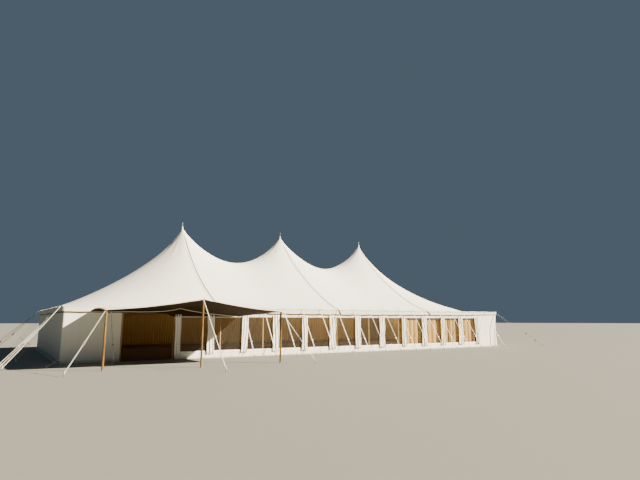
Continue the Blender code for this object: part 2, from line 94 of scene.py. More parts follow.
def startMaterial(name, colour, roughness, extra=None):
    # a new material, the call that adds nodes to it, its shader and its Object coordinates
    material = bpy.data.materials.new(name)
    material.use_nodes = True
    shader = material.node_tree.nodes["Principled BSDF"]
    setInputs(shader, {"Base Color": colour, "Roughness": roughness, **(extra or {})})
    add = functools.partial(addNode, material.node_tree)
    return material, add, shader, add("TexCoord").outputs["Object"]


def addObject(name, data):
    thing = bpy.data.objects.new(name, data)
    bpy.context.scene.collection.objects.link(thing)
    return thing


def addPiece(name, bm, materials, sharp=40):
    mesh = bpy.data.meshes.new(name)
    bm.to_mesh(mesh)
    bm.free()
    for material in materials:
        mesh.materials.append(material)
    mesh.shade_smooth()
    mesh.set_sharp_from_angle(angle=math.radians(sharp))
    piece = addObject(name, mesh)
    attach(piece, "root")
    return piece


def clothMesh():
    # an empty mesh with the cloth map that its tapes, ropes and patches fill in
    bm = bmesh.new()
    bm.loops.layers.uv.new("cloth")
    return bm


def writeCloth(bm, cloth):
    # the cloth map: where each corner of a unit grid lies on the flat cloth
    layer = bm.loops.layers.uv.new("cloth")
    for face in bm.faces:
        for loop in face.loops:
            loop[layer].uv = cloth(*(loop.vert.co.xy + half))


def addSheet(name, columns, rows, place, thickness, materials, facing, cloth=None, keep=None):
    # a grid of cloth laid out by place(u, v), thickened away from its outer face
    bm = bmesh.new()
    bmesh.ops.create_grid(bm, x_segments=columns, y_segments=rows, size=0.5)
    if keep:
        dropped = [face for face in bm.faces if not keep(*(face.calc_center_median().xy + half))]
        bmesh.ops.delete(bm, geom=dropped, context="FACES")
    writeCloth(bm, cloth or (lambda u, v: (u, v)))
    for vert in bm.verts:
        vert.co = place(*(vert.co.xy + half))
    bm.normal_update()
    if sum((face.normal for face in bm.faces), Vector()).dot(Vector(facing)) < 0:
        bmesh.ops.reverse_faces(bm, faces=bm.faces)
    piece = addPiece(name, bm, materials, sharp=60)
    skin = piece.modifiers.new("thickness", "SOLIDIFY")
    skin.thickness = thickness
    skin.offset = -1
    skin.material_offset = len(materials) - 1
    return piece


def addInto(target, part, material=0):
    for face in part.faces:
        face.material_index = material
    mesh = bpy.data.meshes.new("part")
    part.to_mesh(mesh)
    part.free()
    target.from_mesh(mesh)
    bpy.data.meshes.remove(mesh)


def thicken(part):
    part.normal_update()
    bmesh.ops.solidify(part, geom=part.faces, thickness=tapeThickness)
    bmesh.ops.recalc_face_normals(part, faces=part.faces)


def addTape(target, route, width, steps):
    # flat webbing along route(share), which gives a point and the direction across
    part = bmesh.new()
    bmesh.ops.create_grid(part, x_segments=steps, y_segments=1, size=0.5)
    writeCloth(part, lambda u, v: (u, (v - 0.5) * width))
    for vert in part.verts:
        point, across = route(vert.co.x + 0.5)
        vert.co = Vector(point) + Vector(across).normalized() * width * vert.co.y
    thicken(part)
    addInto(target, part)


def addRod(target, start, end, radius, sides=12, tip=None, material=0):
    part = bmesh.new()
    start, end = Vector(start), Vector(end)
    run = end - start
    place = Matrix.Translation((start + end) / 2) @ run.to_track_quat("Z", "Y").to_matrix().to_4x4()
    radii = {"radius1": radius, "radius2": radius if tip is None else tip}
    bmesh.ops.create_cone(part, cap_ends=True, segments=sides, depth=run.length, matrix=place, **radii)
    addInto(target, part, material)


def addBlock(target, place, size, edge):
    # a block with rounded edges, place being its middle and turn
    part = bmesh.new()
    bmesh.ops.create_cube(part, size=1.0, matrix=Matrix.Diagonal((*size, 1.0)))
    bmesh.ops.bevel(part, geom=part.edges, offset=edge, segments=2, affect="EDGES", profile=0.5, material=-1)
    bmesh.ops.transform(part, matrix=place, verts=part.verts)
    addInto(target, part)


def addTube(target, points, radius, sides=8, closed=False):
    # a round rope or wire through the points, open at its ends
    count = len(points)
    steps = count if closed else count - 1
    part = bmesh.new()
    bmesh.ops.create_grid(part, x_segments=steps, y_segments=sides, size=0.5)
    run = [0.0]
    for a, b in zip(points, points[1:] + points[:1]):
        run.append(run[-1] + (b - a).length)
    if target.loops.layers.uv.get("cloth"):
        writeCloth(part, lambda u, v: (run[round(u * steps)], v))
    for vert in part.verts:
        at = round((vert.co.x + 0.5) * steps)
        here = points[at % count]
        before = points[at - 1] if at or closed else here
        after = points[(at + 1) % count] if at < count - 1 or closed else here
        ahead = (after - before).normalized()
        side = ahead.cross(Vector((0, 0, 1)) if abs(ahead.z) < 0.9 else Vector((1, 0, 0))).normalized()
        turn = math.tau * (vert.co.y + 0.5)
        vert.co = here + radius * (side * math.cos(turn) + side.cross(ahead) * math.sin(turn))
    bmesh.ops.remove_doubles(part, verts=part.verts, dist=radius * 0.01)
    bmesh.ops.recalc_face_normals(part, faces=part.faces)
    addInto(target, part)


def addRing(target, middle, across, up, wire):
    # a closed ring of wire, half its size across and half its size up from its middle
    turns = [math.tau * i / 14 for i in range(14)]
    addTube(target, [middle + across * math.cos(t) + up * math.sin(t) for t in turns], wire, 6, closed=True)


def softStep(low, high, value):
    share = min(max((value - low) / (high - low), 0.0), 1.0)
    return share * share * (3 - 2 * share)


def uneven(x, y, z):
    # smooth random unevenness, from about -1 to 1
    return noise.noise(Vector((x, y, z)))


# Camera at the photograph's view, solved from the walls, eaves and peaks
view = {"place": (-14.181, -26.453, 1.515), "turn": 32.913, "tilt": 9.416, "focalPixels": 490.65, "pixels": 640}
cameraData = bpy.data.cameras.new("camera")
cameraData.sensor_width = 36
cameraData.lens = view["focalPixels"] / view["pixels"] * cameraData.sensor_width
cameraData.clip_end = 1000
camera = addObject("camera", cameraData)
camera.location = view["place"]
camera.rotation_euler = (math.radians(90 + view["tilt"]), 0, math.radians(-view["turn"]))
bpy.context.scene.camera = camera

# Light: a soft low sun from the front right, a pale sky, and a little warm light inside
light = {
    "toSun": (0.77, -0.638), "height": 31, "sun": 20.0, "sunWidth": 1.5, "sunColour": "#FFF2DB",
    "sky": "#A8C4DE", "skyStrength": 0.20,
    "lamps": ((-9.0, 10), (-3.0, 30), (3.0, 160), (9.0, 440)), "lampColour": "#FFF4E0",
}
sunData = bpy.data.lights.new("sun", "SUN")
sunData.energy = light["sun"]
sunData.angle = math.radians(light["sunWidth"])
sunData.color = linear(light["sunColour"])[:3]
toSun = Vector((*light["toSun"], math.tan(math.radians(light["height"]))))
addObject("sun", sunData).rotation_euler = toSun.to_track_quat("Z", "Y").to_euler()
world = bpy.data.worlds.new("sky")
world.use_nodes = True
setInputs(world.node_tree.nodes["Background"], {"Color": light["sky"], "Strength": light["skyStrength"]})
bpy.context.scene.world = world
for place, power in light["lamps"]:
    lampData = bpy.data.lights.new("hallLamp", "AREA")
    lampData.shape = "RECTANGLE"
    lampData.size = 4.0
    lampData.size_y = 3.0
    lampData.energy = power
    lampData.color = linear(light["lampColour"])[:3]
    lamp = addObject("hallLamp", lampData)
    lamp.location = (place, 0.5, 0.9)
    lamp.rotation_euler = (math.pi, 0, 0)

floorBm = bmesh.new()
bmesh.ops.create_grid(floorBm, x_segments=1, y_segments=1, size=400)
floorMesh = bpy.data.meshes.new("floor")
floorBm.to_mesh(floorMesh)
floorBm.free()
floorMesh.materials.append(startMaterial("paleFloor", "#7D7C74", 0.9)[0])
floor = addObject("floor", floorMesh)
print("camera, light and floor")


# Materials


def canvasMaterial(name, colour, pale, seamColour):
    # proofed cotton canvas: matt, a faint weave, cloudy weathering and felled seams between its widths
    material, add, shader, coords = startMaterial(name, colour, 0.86, {"Specular IOR Level": 0.2})
    cloth = add("UVMap", uv_map="cloth")
    clouds = add("TexNoise", {"Vector": coords, "Scale": 0.45, "Detail": 5.0})
    along = add("SeparateXYZ", {0: cloth}).outputs["X"]
    # widths of 1.525 m: distance to the nearest seam in metres, then a line about 28 mm wide
    toSeam = add("Math", {0: along, 1: 0.7625}, operation="PINGPONG")
    seam = add("MapRange", {"Value": toSeam, 1: 0.010, 2: 0.018, 3: 1.0, 4: 0.0})
    faint = add("Math", {0: seam, 1: 0.22}, operation="MULTIPLY")
    cloudy = add("Mix", {0: clouds, 6: colour, 7: pale}, data_type="RGBA")
    seamed = add("Mix", {0: faint, 6: cloudy, 7: seamColour}, data_type="RGBA")
    # threads are about 1 mm and drawn at 8 mm, so that the weave shows at all
    weave = add("TexNoise", {"Vector": coords, "Scale": 120.0, "Detail": 1.0})
    height = add("Math", {0: weave, 1: 0.12, 2: seam}, operation="MULTIPLY_ADD")
    bump = add("Bump", {"Height": height, "Distance": 0.0025, "Strength": 0.6})
    setInputs(shader, {"Base Color": seamed, "Normal": bump})
    return material


roofCanvas = canvasMaterial("ivoryCanvas", "#F0EDE1", "#F7F5EC", "#D3CDBB")
# the canopy's inner face: the same canvas in a darker tan, painted shade
roofInsidePaintedShade = canvasMaterial("ivoryCanvasInsidePaintedShade", "#D3C7A6", "#DDD2B4", "#B3A27E")
valanceCanvas = canvasMaterial("valanceCanvas", "#E6DFC9", "#EDE7D4", "#C9BFA2")
# a grey copy of the valance canvas for the back and left valances, which face away from the sun: painted shade
paintedShadeCanvas = canvasMaterial("paintedShadeCanvas", "#A6ABA0", "#B4B8AD", "#8C9086")
awningTop = canvasMaterial("awningCanvas", "#E6E1D3", "#EFEBE0", "#CBC3AF")
# the awning's underside and the sheet behind its rear edge: the same canvas in near-black brown, painted shade
awningUnderPaintedShade = canvasMaterial("awningCanvasUnderPaintedShade", "#2E1F05", "#382808", "#201603")


def wallingMaterial(name, colour, pale):
    # coated walling: soft satin, faint upright creases, mud splash at the foot
    material, add, shader, coords = startMaterial(name, colour, 0.62)
    upright = add("Mapping", {"Vector": coords, "Scale": (5.0, 5.0, 0.5)})
    creases = add("TexNoise", {"Vector": upright, "Scale": 1.0, "Detail": 4.0})
    plain = add("Mix", {0: creases, 6: colour, 7: pale}, data_type="RGBA")
    height = add("SeparateXYZ", {0: coords}).outputs["Z"]
    nearFoot = add("MapRange", {"Value": height, 1: 0.0, 2: 0.16, 3: 0.9, 4: 0.0})
    specks = add("TexNoise", {"Vector": coords, "Scale": 9.0, "Detail": 6.0})
    dirt = add("Math", {0: nearFoot, 1: specks}, operation="MULTIPLY")
    soiled = add("Mix", {0: dirt, 6: plain, 7: "#A79F83"}, data_type="RGBA")
    bump = add("Bump", {"Height": creases, "Distance": 0.006, "Strength": 0.5})
    setInputs(shader, {"Base Color": soiled, "Normal": bump})
    return material


walling = wallingMaterial("whiteWalling", "#E8E5D8", "#F3F0E4")
# a grey copy of the walling for the back and left walls and their sod cloth, on the sides away from the sun:
# painted shade
paintedShadeWalling = wallingMaterial("paintedShadeWalling", "#A3A9A3", "#B1B6B0")
lining = wallingMaterial("tanLining", "#B08C48", "#C6A563")
# a darker copy of the tan lining for the curtain that the sun falls on: painted shade
paintedShadeCurtain = wallingMaterial("tanCurtain", "#AC8638", "#C29D50")


def filmMaterial():
    # clear flexible PVC film: glossy, slightly smoky, faint ripples
    material, add, shader, coords = startMaterial("clearFilm", "#8A8272", 0.08, {"Alpha": 0.05, "IOR": 1.53})
    ripples = add("TexNoise", {"Vector": coords, "Scale": 2.2, "Detail": 2.0})
    bump = add("Bump", {"Height": ripples, "Distance": 0.02, "Strength": 0.5})
    setInputs(shader, {"Normal": bump})
    return material


varnish = {"Coat Weight": 0.25, "Coat Roughness": 0.3}


def woodMaterial(name, dark, pale, roughness, ring=None, pinFrom=None):
    # varnished round timber: long grain, dark rings where it is bound, and a zinc-grey pin at its head
    material, add, shader, coords = startMaterial(name, dark, roughness, varnish)
    height = add("SeparateXYZ", {0: coords}).outputs["Z"]
    stretched = add("Mapping", {"Vector": coords, "Scale": (60.0, 60.0, 2.2)})
    grain = add("TexNoise", {"Vector": stretched, "Scale": 1.0, "Detail": 6.0})
    broad = add("TexNoise", {"Vector": coords, "Scale": 2.5, "Detail": 2.0})
    both = add("Math", {0: grain, 1: broad}, operation="MULTIPLY")
    share = add("MapRange", {"Value": both, 1: 0.12, 2: 0.40})
    colour = add("Mix", {0: share, 6: dark, 7: pale}, data_type="RGBA")
    if ring:
        toRing = add("Math", {0: height, 1: ring / 2}, operation="PINGPONG")
        onRing = add("MapRange", {"Value": toRing, 1: 0.008, 2: 0.014, 3: 0.7, 4: 0.0})
        colour = add("Mix", {0: onRing, 6: colour, 7: "#4A3218"}, data_type="RGBA")
    if pinFrom:
        onPin = add("MapRange", {"Value": height, 1: pinFrom, 2: pinFrom + 0.002})
        colour = add("Mix", {0: onPin, 6: colour, 7: "#A3A6A7"}, data_type="RGBA")
        setInputs(shader, {"Metallic": onPin})
    bump = add("Bump", {"Height": grain, "Distance": 0.0008, "Strength": 0.5})
    setInputs(shader, {"Base Color": colour, "Normal": bump})
    return material


def webbingMaterial():
    # woven polyester webbing: fine ribs along it, a dull sheen, grey where it is handled
    material, add, shader, coords = startMaterial("whiteWebbing", "#E4E1D6", 0.7, {"Sheen Weight": 0.15})
    soil = add("TexNoise", {"Vector": coords, "Scale": 6.0, "Detail": 5.0})
    share = add("MapRange", {"Value": soil, 1: 0.45, 2: 0.75})
    colour = add("Mix", {0: share, 6: "#DDD9CB", 7: "#BDB6A2"}, data_type="RGBA")
    ribs = add("TexWave", {"Vector": coords, "Scale": 90.0, "Distortion": 0.4}).outputs["Fac"]
    bump = add("Bump", {"Height": ribs, "Distance": 0.0006, "Strength": 0.5})
    setInputs(shader, {"Base Color": colour, "Normal": bump})
    return material


def steelMaterial():
    # hot-dip galvanised steel: grey zinc with pale spangle, dull where weathered
    material, add, shader, coords = startMaterial("galvanisedSteel", "#8D9092", 0.45, {"Metallic": 1.0})
    spangle = add("TexVoronoi", {"Vector": coords, "Scale": 90.0})
    colour = add("Mix", {0: spangle, 6: "#7E8285", 7: "#B2B5B6"}, data_type="RGBA")
    setInputs(shader, {"Base Color": colour})
    return material


def ropeMaterial():
    # laid natural rope: three strands that wind round it, straw coloured with dark lay lines
    material, add, shader, _ = startMaterial("laidRope", "#C6B48C", 0.85)
    cloth = add("UVMap", uv_map="cloth")
    along, around, _ = add("SeparateXYZ", {0: cloth}).outputs
    # one turn every 60 mm, three strands
    lay = add("Math", {0: along, 1: 16.7, 2: around}, operation="MULTIPLY_ADD")
    strand = add("Math", {0: lay, 1: 3.0}, operation="MULTIPLY")
    valley = add("Math", {0: strand, 1: 0.5}, operation="PINGPONG")
    share = add("MapRange", {"Value": valley, 1: 0.0, 2: 0.25})
    colour = add("Mix", {0: share, 6: "#8E7A52", 7: "#D2C29C"}, data_type="RGBA")
    bump = add("Bump", {"Height": share, "Distance": 0.002, "Strength": 0.8})
    setInputs(shader, {"Base Color": colour, "Normal": bump})
    return material


def tapeMaterial(name, colour, pale):
    # cotton tape: matt, faint rib; the dark tapes at the seams and the lap carry painted shadow as well
    material, add, shader, coords = startMaterial(name, colour, 0.9)
    clouds = add("TexNoise", {"Vector": coords, "Scale": 8.0, "Detail": 4.0})
    cloudy = add("Mix", {0: clouds, 6: colour, 7: pale}, data_type="RGBA")
    ribs = add("TexNoise", {"Vector": coords, "Scale": 220.0})
    bump = add("Bump", {"Height": ribs, "Distance": 0.0006, "Strength": 0.5})
    setInputs(shader, {"Base Color": cloudy, "Normal": bump})
    return material


def coirMaterial():
    # coir matting: coarse brown yarns in a herringbone, drawn at 14 mm so that it shows
    material, add, shader, coords = startMaterial("coirMatting", "#4E3219", 0.95)
    yarns = {"Vector": coords, "Scale": 22.0, "Distortion": 1.5}
    weave = add("TexWave", yarns, bands_direction="DIAGONAL").outputs["Fac"]
    woven = add("Mix", {0: weave, 6: "#3E2613", 7: "#6A4626"}, data_type="RGBA")
    worn = add("TexNoise", {"Vector": coords, "Scale": 1.2, "Detail": 6.0})
    share = add("MapRange", {"Value": worn, 1: 0.4, 2: 0.8, 3: 0.0, 4: 0.6})
    colour = add("Mix", {0: share, 6: woven, 7: "#4A3019"}, data_type="RGBA")
    bump = add("Bump", {"Height": weave, "Distance": 0.004, "Strength": 0.8})
    setInputs(shader, {"Base Color": colour, "Normal": bump})
    return material


clearFilm = filmMaterial()
kingWood = woodMaterial("kingPoleTimber", "#7A5630", "#A47C4C", 0.42, pinFrom=eaveZ + 4.50)
poleWood = woodMaterial("sidePoleTimber", "#A88048", "#C9A66C", 0.45)
porchWood = woodMaterial("porchPoleTimber", "#5E4218", "#8F6C30", 0.35, ring=0.70)
webbing = webbingMaterial()
steel = steelMaterial()
rope = ropeMaterial()
# the seams' dark tape: partly lacing, partly painted shadow under the flaps' loose edges
seamLaceAndShadowTape = tapeMaterial("seamLaceAndShadow", "#5C5444", "#706856")
hemTape = tapeMaterial("awningHem", "#E6D9C6", "#F0E6D6")
valanceFootBandTape = tapeMaterial("valanceDarkFoot", "#392C12", "#4C3C1E")
# near-black tape for the seams' ends and the right wall's lap: partly lacing, partly painted shadow
laceAndShadowTape = tapeMaterial("laceAndPaintedShadow", "#2E2A20", "#3C372B")
eaveTape = tapeMaterial("eaveBinding", "#DCD8CA", "#EAE6DA")
coir = coirMaterial()
print("materials")


# Canopy: the stretched form falls from each peak to the eave and hangs in a saddle between peaks
canopy = {
    "rise": 4.55, "tip": 0.8, "fall": 1.33, "saddle": 0.57, "ridge": 0.2, "reach": 1.31, "blend": 5,
    "seamFall": (1.33, 1.20, 1.28), "endTip": 0.73, "endFall": 1.20,
    "squareAtPeak": 1.5, "squareAtEave": 2.8, "squareGrowth": 1.85,
    "columns": 64, "rows": 144, "thickness": 0.004,
    "scallop": 0.016, "pucker": 0.012, "peakFold": 0.007, "bellow": 0.008,
    "overRoof": 15.6, "endCloth": 0.9, "bayCloth": 0.35, "clothWidth": 1.525,
}


def fall(share, tip=canopy["tip"], power=canopy["fall"]):
    return (1 - min(share, 1.0) ** tip) ** power


def saddle(share):
    ridge = canopy["ridge"]
    rounded = (math.hypot(share, ridge) - ridge) / (math.hypot(1.0, ridge) - ridge)
    return canopy["saddle"] * (1 - min(rounded, 1.0)) ** canopy["fall"]


def endRise(along, across, seamFall):
    growth = min(math.hypot(along, across), 1.0) ** canopy["squareGrowth"]
    square = canopy["squareAtPeak"] + (canopy["squareAtEave"] - canopy["squareAtPeak"]) * growth
    total = along**square + across**square
    if total == 0:
        return 1.0
    middle = along**square / total
    tip = canopy["tip"] + (canopy["endTip"] - canopy["tip"]) * middle
    power = seamFall + (canopy["endFall"] - seamFall) * middle
    return fall(total ** (1 / square), tip, power)


def formHeight(x, y):
    across = min(abs(y) / eaveY, 1.0)
    beyond = (abs(x) - kingPlaces[2]) / (eaveX - kingPlaces[2])
    if beyond > 0:
        rise = endRise(min(beyond, 1.0), across, canopy["seamFall"][0 if x < 0 else 2])
    else:
        power = canopy["blend"]
        total = saddle(across) ** power
        for place, seamFall in zip(kingPlaces, canopy["seamFall"]):
            reach = math.hypot((x - place) / (bay * canopy["reach"]), across)
            if reach < 1:
                sideways = (across / reach) ** 2 if reach else 0.0
                near = fall(reach, canopy["tip"], canopy["fall"] + (seamFall - canopy["fall"]) * sideways)
                total += max(near**power - saddle(reach) ** power, 0.0)
        rise = min(total ** (1 / power), 1.0)
    return eaveZ + canopy["rise"] * rise


def edgePull(toEave, along):
    # scallops and star folds that the guys pull into the cloth near an eave
    phase = (along / guySpacing + 0.5) % 1.0 - 0.5
    scallop = -canopy["scallop"] * (1 - math.cos(math.tau * phase)) / 2 * math.exp(-toEave / 0.22)
    aside = phase * guySpacing
    away = math.hypot(aside, toEave + 0.04)
    star = canopy["pucker"] * math.cos(8 * math.atan2(aside, toEave + 0.04)) * math.exp(-away / 0.30)
    return scallop + star * softStep(0.0, 0.12, toEave)


def wrinkle(x, y):
    toEave = min(eaveY - abs(y), eaveX - abs(x))
    pull = edgePull(eaveY - abs(y), x + wallX) + edgePull(eaveX - abs(x), y + wallY)
    folds = 0.0
    for place in kingPlaces:
        away = math.hypot(x - place, y)
        if away < 3.0:
            turn = math.atan2(y, x - place)
            wave = math.cos(14 * turn) + 0.5 * math.cos(23 * turn + 1.0)
            folds += canopy["peakFold"] * wave * math.exp(-(((away - 0.7) / 0.6) ** 2)) * min(away / 0.3, 1.0)
    soft = uneven(x * 0.55, y * 0.4, 4.0) + 0.5 * uneven(x * 1.4, y * 0.9, 9.0)
    return pull + folds + canopy["bellow"] * soft * softStep(0.0, 0.6, toEave)


def roofPoint(x, y, lift=0.0):
    return Vector((x, y, formHeight(x, y) + wrinkle(x, y) + lift))


def crowd(share):
    # columns lie closer together near a peak
    return share**1.6


def acrossRoof(v, reach=eaveY):
    # rows lie closer together near the ridge
    share = 2 * v - 1
    return math.copysign(abs(share) ** 1.35, share) * reach


sections = {
    "LeftEnd": ("canopy_left_end", -eaveX, kingPlaces[0], lambda u: 1 - crowd(1 - u)),
    "LeftBay": ("canopy_left_bay", kingPlaces[0], kingPlaces[1], None),
    "RightBay": ("canopy_right_bay", kingPlaces[1], kingPlaces[2], None),
    "RightEnd": ("canopy_right_end", kingPlaces[2], eaveX, crowd),
}
for label, (node, start, end, spacing) in sections.items():
    spread = spacing or (lambda u: crowd(2 * u) / 2 if u < 0.5 else 1 - crowd(2 - 2 * u) / 2)

    def gridX(u):
        return start + (end - start) * spread(u)

    def clothPlace(u, v):
        # widths run across the ridge in the bays and fan out from the peak at the ends
        x, y = gridX(u), acrossRoof(v)
        if not spacing:
            return (x - start, y)
        turn = math.atan2(y, abs(abs(x) - kingPlaces[2]))
        return (turn / math.pi * 8 * canopy["clothWidth"], math.hypot(abs(x) - kingPlaces[2], y))

    piece = addSheet(
        "canopy" + label, canopy["columns"], canopy["rows"], lambda u, v: roofPoint(gridX(u), acrossRoof(v)),
        canopy["thickness"], [roofCanvas, roofInsidePaintedShade], (0, 0, 1), clothPlace,
    )
    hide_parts(node)
print("canopy sheets")

# Laced seams: a flap over each join from eave to eave, with a dark tape along its loose edge that is partly the
# lacing and partly the painted shadow of the open edge
seam = {"width": 0.130, "lift": 0.012, "darkBand": 0.044, "thickness": 0.003, "rows": 150, "pastEave": 0.002}


def gather(y):
    # the flap narrows to the peak
    return 0.15 + 0.85 * softStep(0.0, 0.6, abs(y))


for number, place in enumerate(kingPlaces, 1):

    def flapPoint(u, v):
        y = acrossRoof(v, eaveY + seam["pastEave"])
        x = place + (u - 0.5) * seam["width"] * gather(y)
        return roofPoint(x, y, 0.0015 + seam["lift"] * softStep(0.2, 1.0, u) * gather(y))

    def darkBandPoint(u, v):
        y = acrossRoof(v, eaveY + seam["pastEave"])
        x = place + (seam["width"] / 2 + (u - 0.6) * seam["darkBand"]) * gather(y)
        return roofPoint(x, y, 0.004 + (seam["lift"] + 0.005) * gather(y))

    flapAndShadeSheet = addSheet(
        f"seamFlap{number}", 4, seam["rows"], flapPoint, seam["thickness"],
        [roofCanvas], (0, 0, 1), lambda u, v: (0.3 + 0.2 * u, 12 * v),
    )
    # dark tape along the loose edge: lacing with painted shadow
    darkBand = addSheet(
        f"seamLaceAndShadow{number}", 2, seam["rows"], darkBandPoint, seam["thickness"], [seamLaceAndShadowTape], (0, 0, 1)
    )

# Peaks: a doubled round patch, a canvas boot tied round the pin, and the pin with its steel cap
peak = {
    "patch": 0.26, "hole": 0.03, "patchLift": 0.002, "boot": 0.052, "bootTop": 0.018,
    "pin": 0.0128, "pinTop": 0.25, "cap": 0.014,
}
top = eaveZ + canopy["rise"]
for number, place in enumerate(kingPlaces, 1):

    def patchPoint(u, v):
        turn = math.tau * u
        reach = peak["hole"] + (peak["patch"] - peak["hole"]) * v
        return roofPoint(place + reach * math.cos(turn), reach * math.sin(turn), peak["patchLift"] + 0.003 * v)

    patch = addSheet(
        f"peakPatch{number}", 64, 8, patchPoint, 0.003, [roofCanvas], (0, 0, 1),
        lambda u, v: (0.2 + 0.3 * u, 0.5 * v),
    )
    fittings = clothMesh()
    heights = [(place, 0, top + up) for up in (-0.15, 0.050, 0.045, 0.225, 0.220, peak["pinTop"])]
    addRod(fittings, *heights[0:2], peak["boot"], 24, tip=peak["bootTop"])
    addRod(fittings, *heights[2:4], peak["pin"], material=1)
    addRod(fittings, *heights[4:6], peak["cap"], tip=0.004, material=1)
    addPiece(f"peakFittings{number}", fittings, [roofCanvas, steel])
print("seams and peaks")

# Eave: a roped hem round the whole edge, and a patch and ring at each guy
eave = {
    "rope": 0.008, "ropeBelow": 0.006, "step": 0.10, "patchWidth": 0.30, "patchRun": 0.34, "patchTaper": 0.75,
    "patchIn": 0.004, "patchLift": 0.006, "ring": 0.028, "wire": 0.005, "ringOut": 0.012, "ringBelow": 0.020,
}


def evenly(reach):
    # places from one end of a side to its other end
    count = round(2 * reach / eave["step"])
    return [-reach + 2 * reach * i / count for i in range(count + 1)]


hem = clothMesh()
for side in (-1, 1):
    addTube(hem, [roofPoint(x, side * eaveY, -eave["ropeBelow"]) for x in evenly(eaveX)], eave["rope"])
    addTube(hem, [roofPoint(side * eaveX, y, -eave["ropeBelow"]) for y in evenly(eaveY)], eave["rope"])
addPiece("eaveHem", hem, [eaveTape])


def guyRow(low, high, length):
    # places of the guys along a side
    found = [guySpacing * i - length for i in range(1, round(2 * length / guySpacing))]
    return [place for place in found if low < place < high]


# the row along the front has one guy before the doorway and the others from the porch on
guyBeforeDoor = doorLeft - 0.433
frontGuys = sorted(guyRow(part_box("front_guys_right")[0].x, wallX, wallX) + [guyBeforeDoor])
endGuys = guyRow(-wallY, wallY, wallY)
sides = {
    "Front": ((0, -1), frontGuys, eaveY, ["front_guys_left", "front_guys_right"]),
    "Back": ((0, 1), guyRow(-wallX, wallX, wallX), eaveY, ["back_guys"]),
    "Left": ((-1, 0), endGuys, eaveX, ["left_end_guys"]),
    "Right": ((1, 0), endGuys, eaveX, ["right_end_guys"]),
}
for label, (outward, places, edge, nodes) in sides.items():
    patches, rings = clothMesh(), bmesh.new()
    out = Vector((*outward, 0.0))
    along = Vector((-out.y, out.x, 0.0)) if out.x else Vector((1, 0, 0))
    for place in places:
        part = bmesh.new()
        bmesh.ops.create_grid(part, x_segments=6, y_segments=6, size=0.5)
        writeCloth(part, lambda u, v: (0.4, 0.4))
        for vert in part.verts:
            inward = vert.co.y + 0.5
            spot = along * (place + vert.co.x * eave["patchWidth"] * (1 - eave["patchTaper"] * inward))
            spot += out * (edge - eave["patchIn"] - inward * eave["patchRun"])
            vert.co = roofPoint(spot.x, spot.y, eave["patchLift"])
        thicken(part)
        addInto(patches, part)
        middle = along * place + out * (edge + eave["ringOut"]) + Vector((0, 0, eaveZ - eave["ringBelow"]))
        addRing(rings, middle, out * eave["ring"] / 2, Vector((0, 0, eave["ring"])), eave["wire"])
    addPiece("eavePatches" + label, patches, [roofCanvas])
    addPiece("eaveRings" + label, rings, [steel])
print("eave")

# Valances: short hanging strips that lean in towards the walls, with a dark band along the foot
valance = {
    "drop": 0.245, "lean": 0.012, "wave": 0.003, "thickness": 0.003, "darkBand": 0.18, "column": 0.08,
    "deeperBy": 0.028, "deepestAt": 1, "deepSpread": 4, "shorterBy": 0.070, "shortBetween": (8.5, 12.0),
}


def valanceDrop(label, x):
    # the front strip hangs deepest over the windows and is shortest at its right end
    if label != "Front":
        return valance["drop"]
    deeper = valance["deeperBy"] * math.exp(-(((x - valance["deepestAt"]) / valance["deepSpread"]) ** 2))
    return valance["drop"] + deeper - valance["shorterBy"] * softStep(*valance["shortBetween"], x)


def addValance(label, start, end, outward, length, cloth):
    out = Vector((*outward, 0.0))
    run = Vector(end) - Vector(start)
    seed = sum(ord(c) for c in label)

    def place(u, v):
        # the strip draws in at both ends as it leans, so that it meets the next one at the corner
        down = 1 - v
        inset = (0.006 + valance["lean"] * down) / length
        spot = Vector((*(Vector(start) + run * (inset + (1 - 2 * inset) * u)), 0.0))
        along = u * length
        wave = math.sin(along * 5.1 + 1.7 * math.sin(along * 0.9)) + 0.6 * math.sin(along * 11.3 + seed)
        wave += uneven(along * 1.5, seed, 0.0)
        top = roofPoint(spot.x, spot.y).z - 0.006
        spot += out * (-valance["lean"] * down - 0.006 + valance["wave"] * wave * down)
        pull = 0.006 * uneven(along * 0.8, seed, 3.0)
        return Vector((spot.x, spot.y, top - (valanceDrop(label, spot.x) + pull) * down))

    columns = round(length / valance["column"])
    piece = addSheet(
        "valance" + label, columns, 6, place, valance["thickness"], [cloth], (*outward, 0),
        lambda u, v: (0.2 + length * u, valance["drop"] * v),
    )
    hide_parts("valance_" + label.lower())
    darkBand = addSheet(
        "valanceDarkFoot" + label, columns, 1,
        lambda u, v: place(u, v * valance["darkBand"] - 0.01) + out * 0.002,
        0.004, [valanceFootBandTape], (*outward, 0),
    )


addValance("Front", (-eaveX, -eaveY), (eaveX, -eaveY), (0, -1), 2 * eaveX, valanceCanvas)
# the back and left valances take the canvas greyed with painted shade
addValance("Back", (-eaveX, eaveY), (eaveX, eaveY), (0, 1), 2 * eaveX, paintedShadeCanvas)
addValance("Left", (-eaveX, -eaveY), (-eaveX, eaveY), (-1, 0), 2 * eaveY, paintedShadeCanvas)
addValance("Right", (eaveX, -eaveY), (eaveX, eaveY), (1, 0), 2 * eaveY, valanceCanvas)

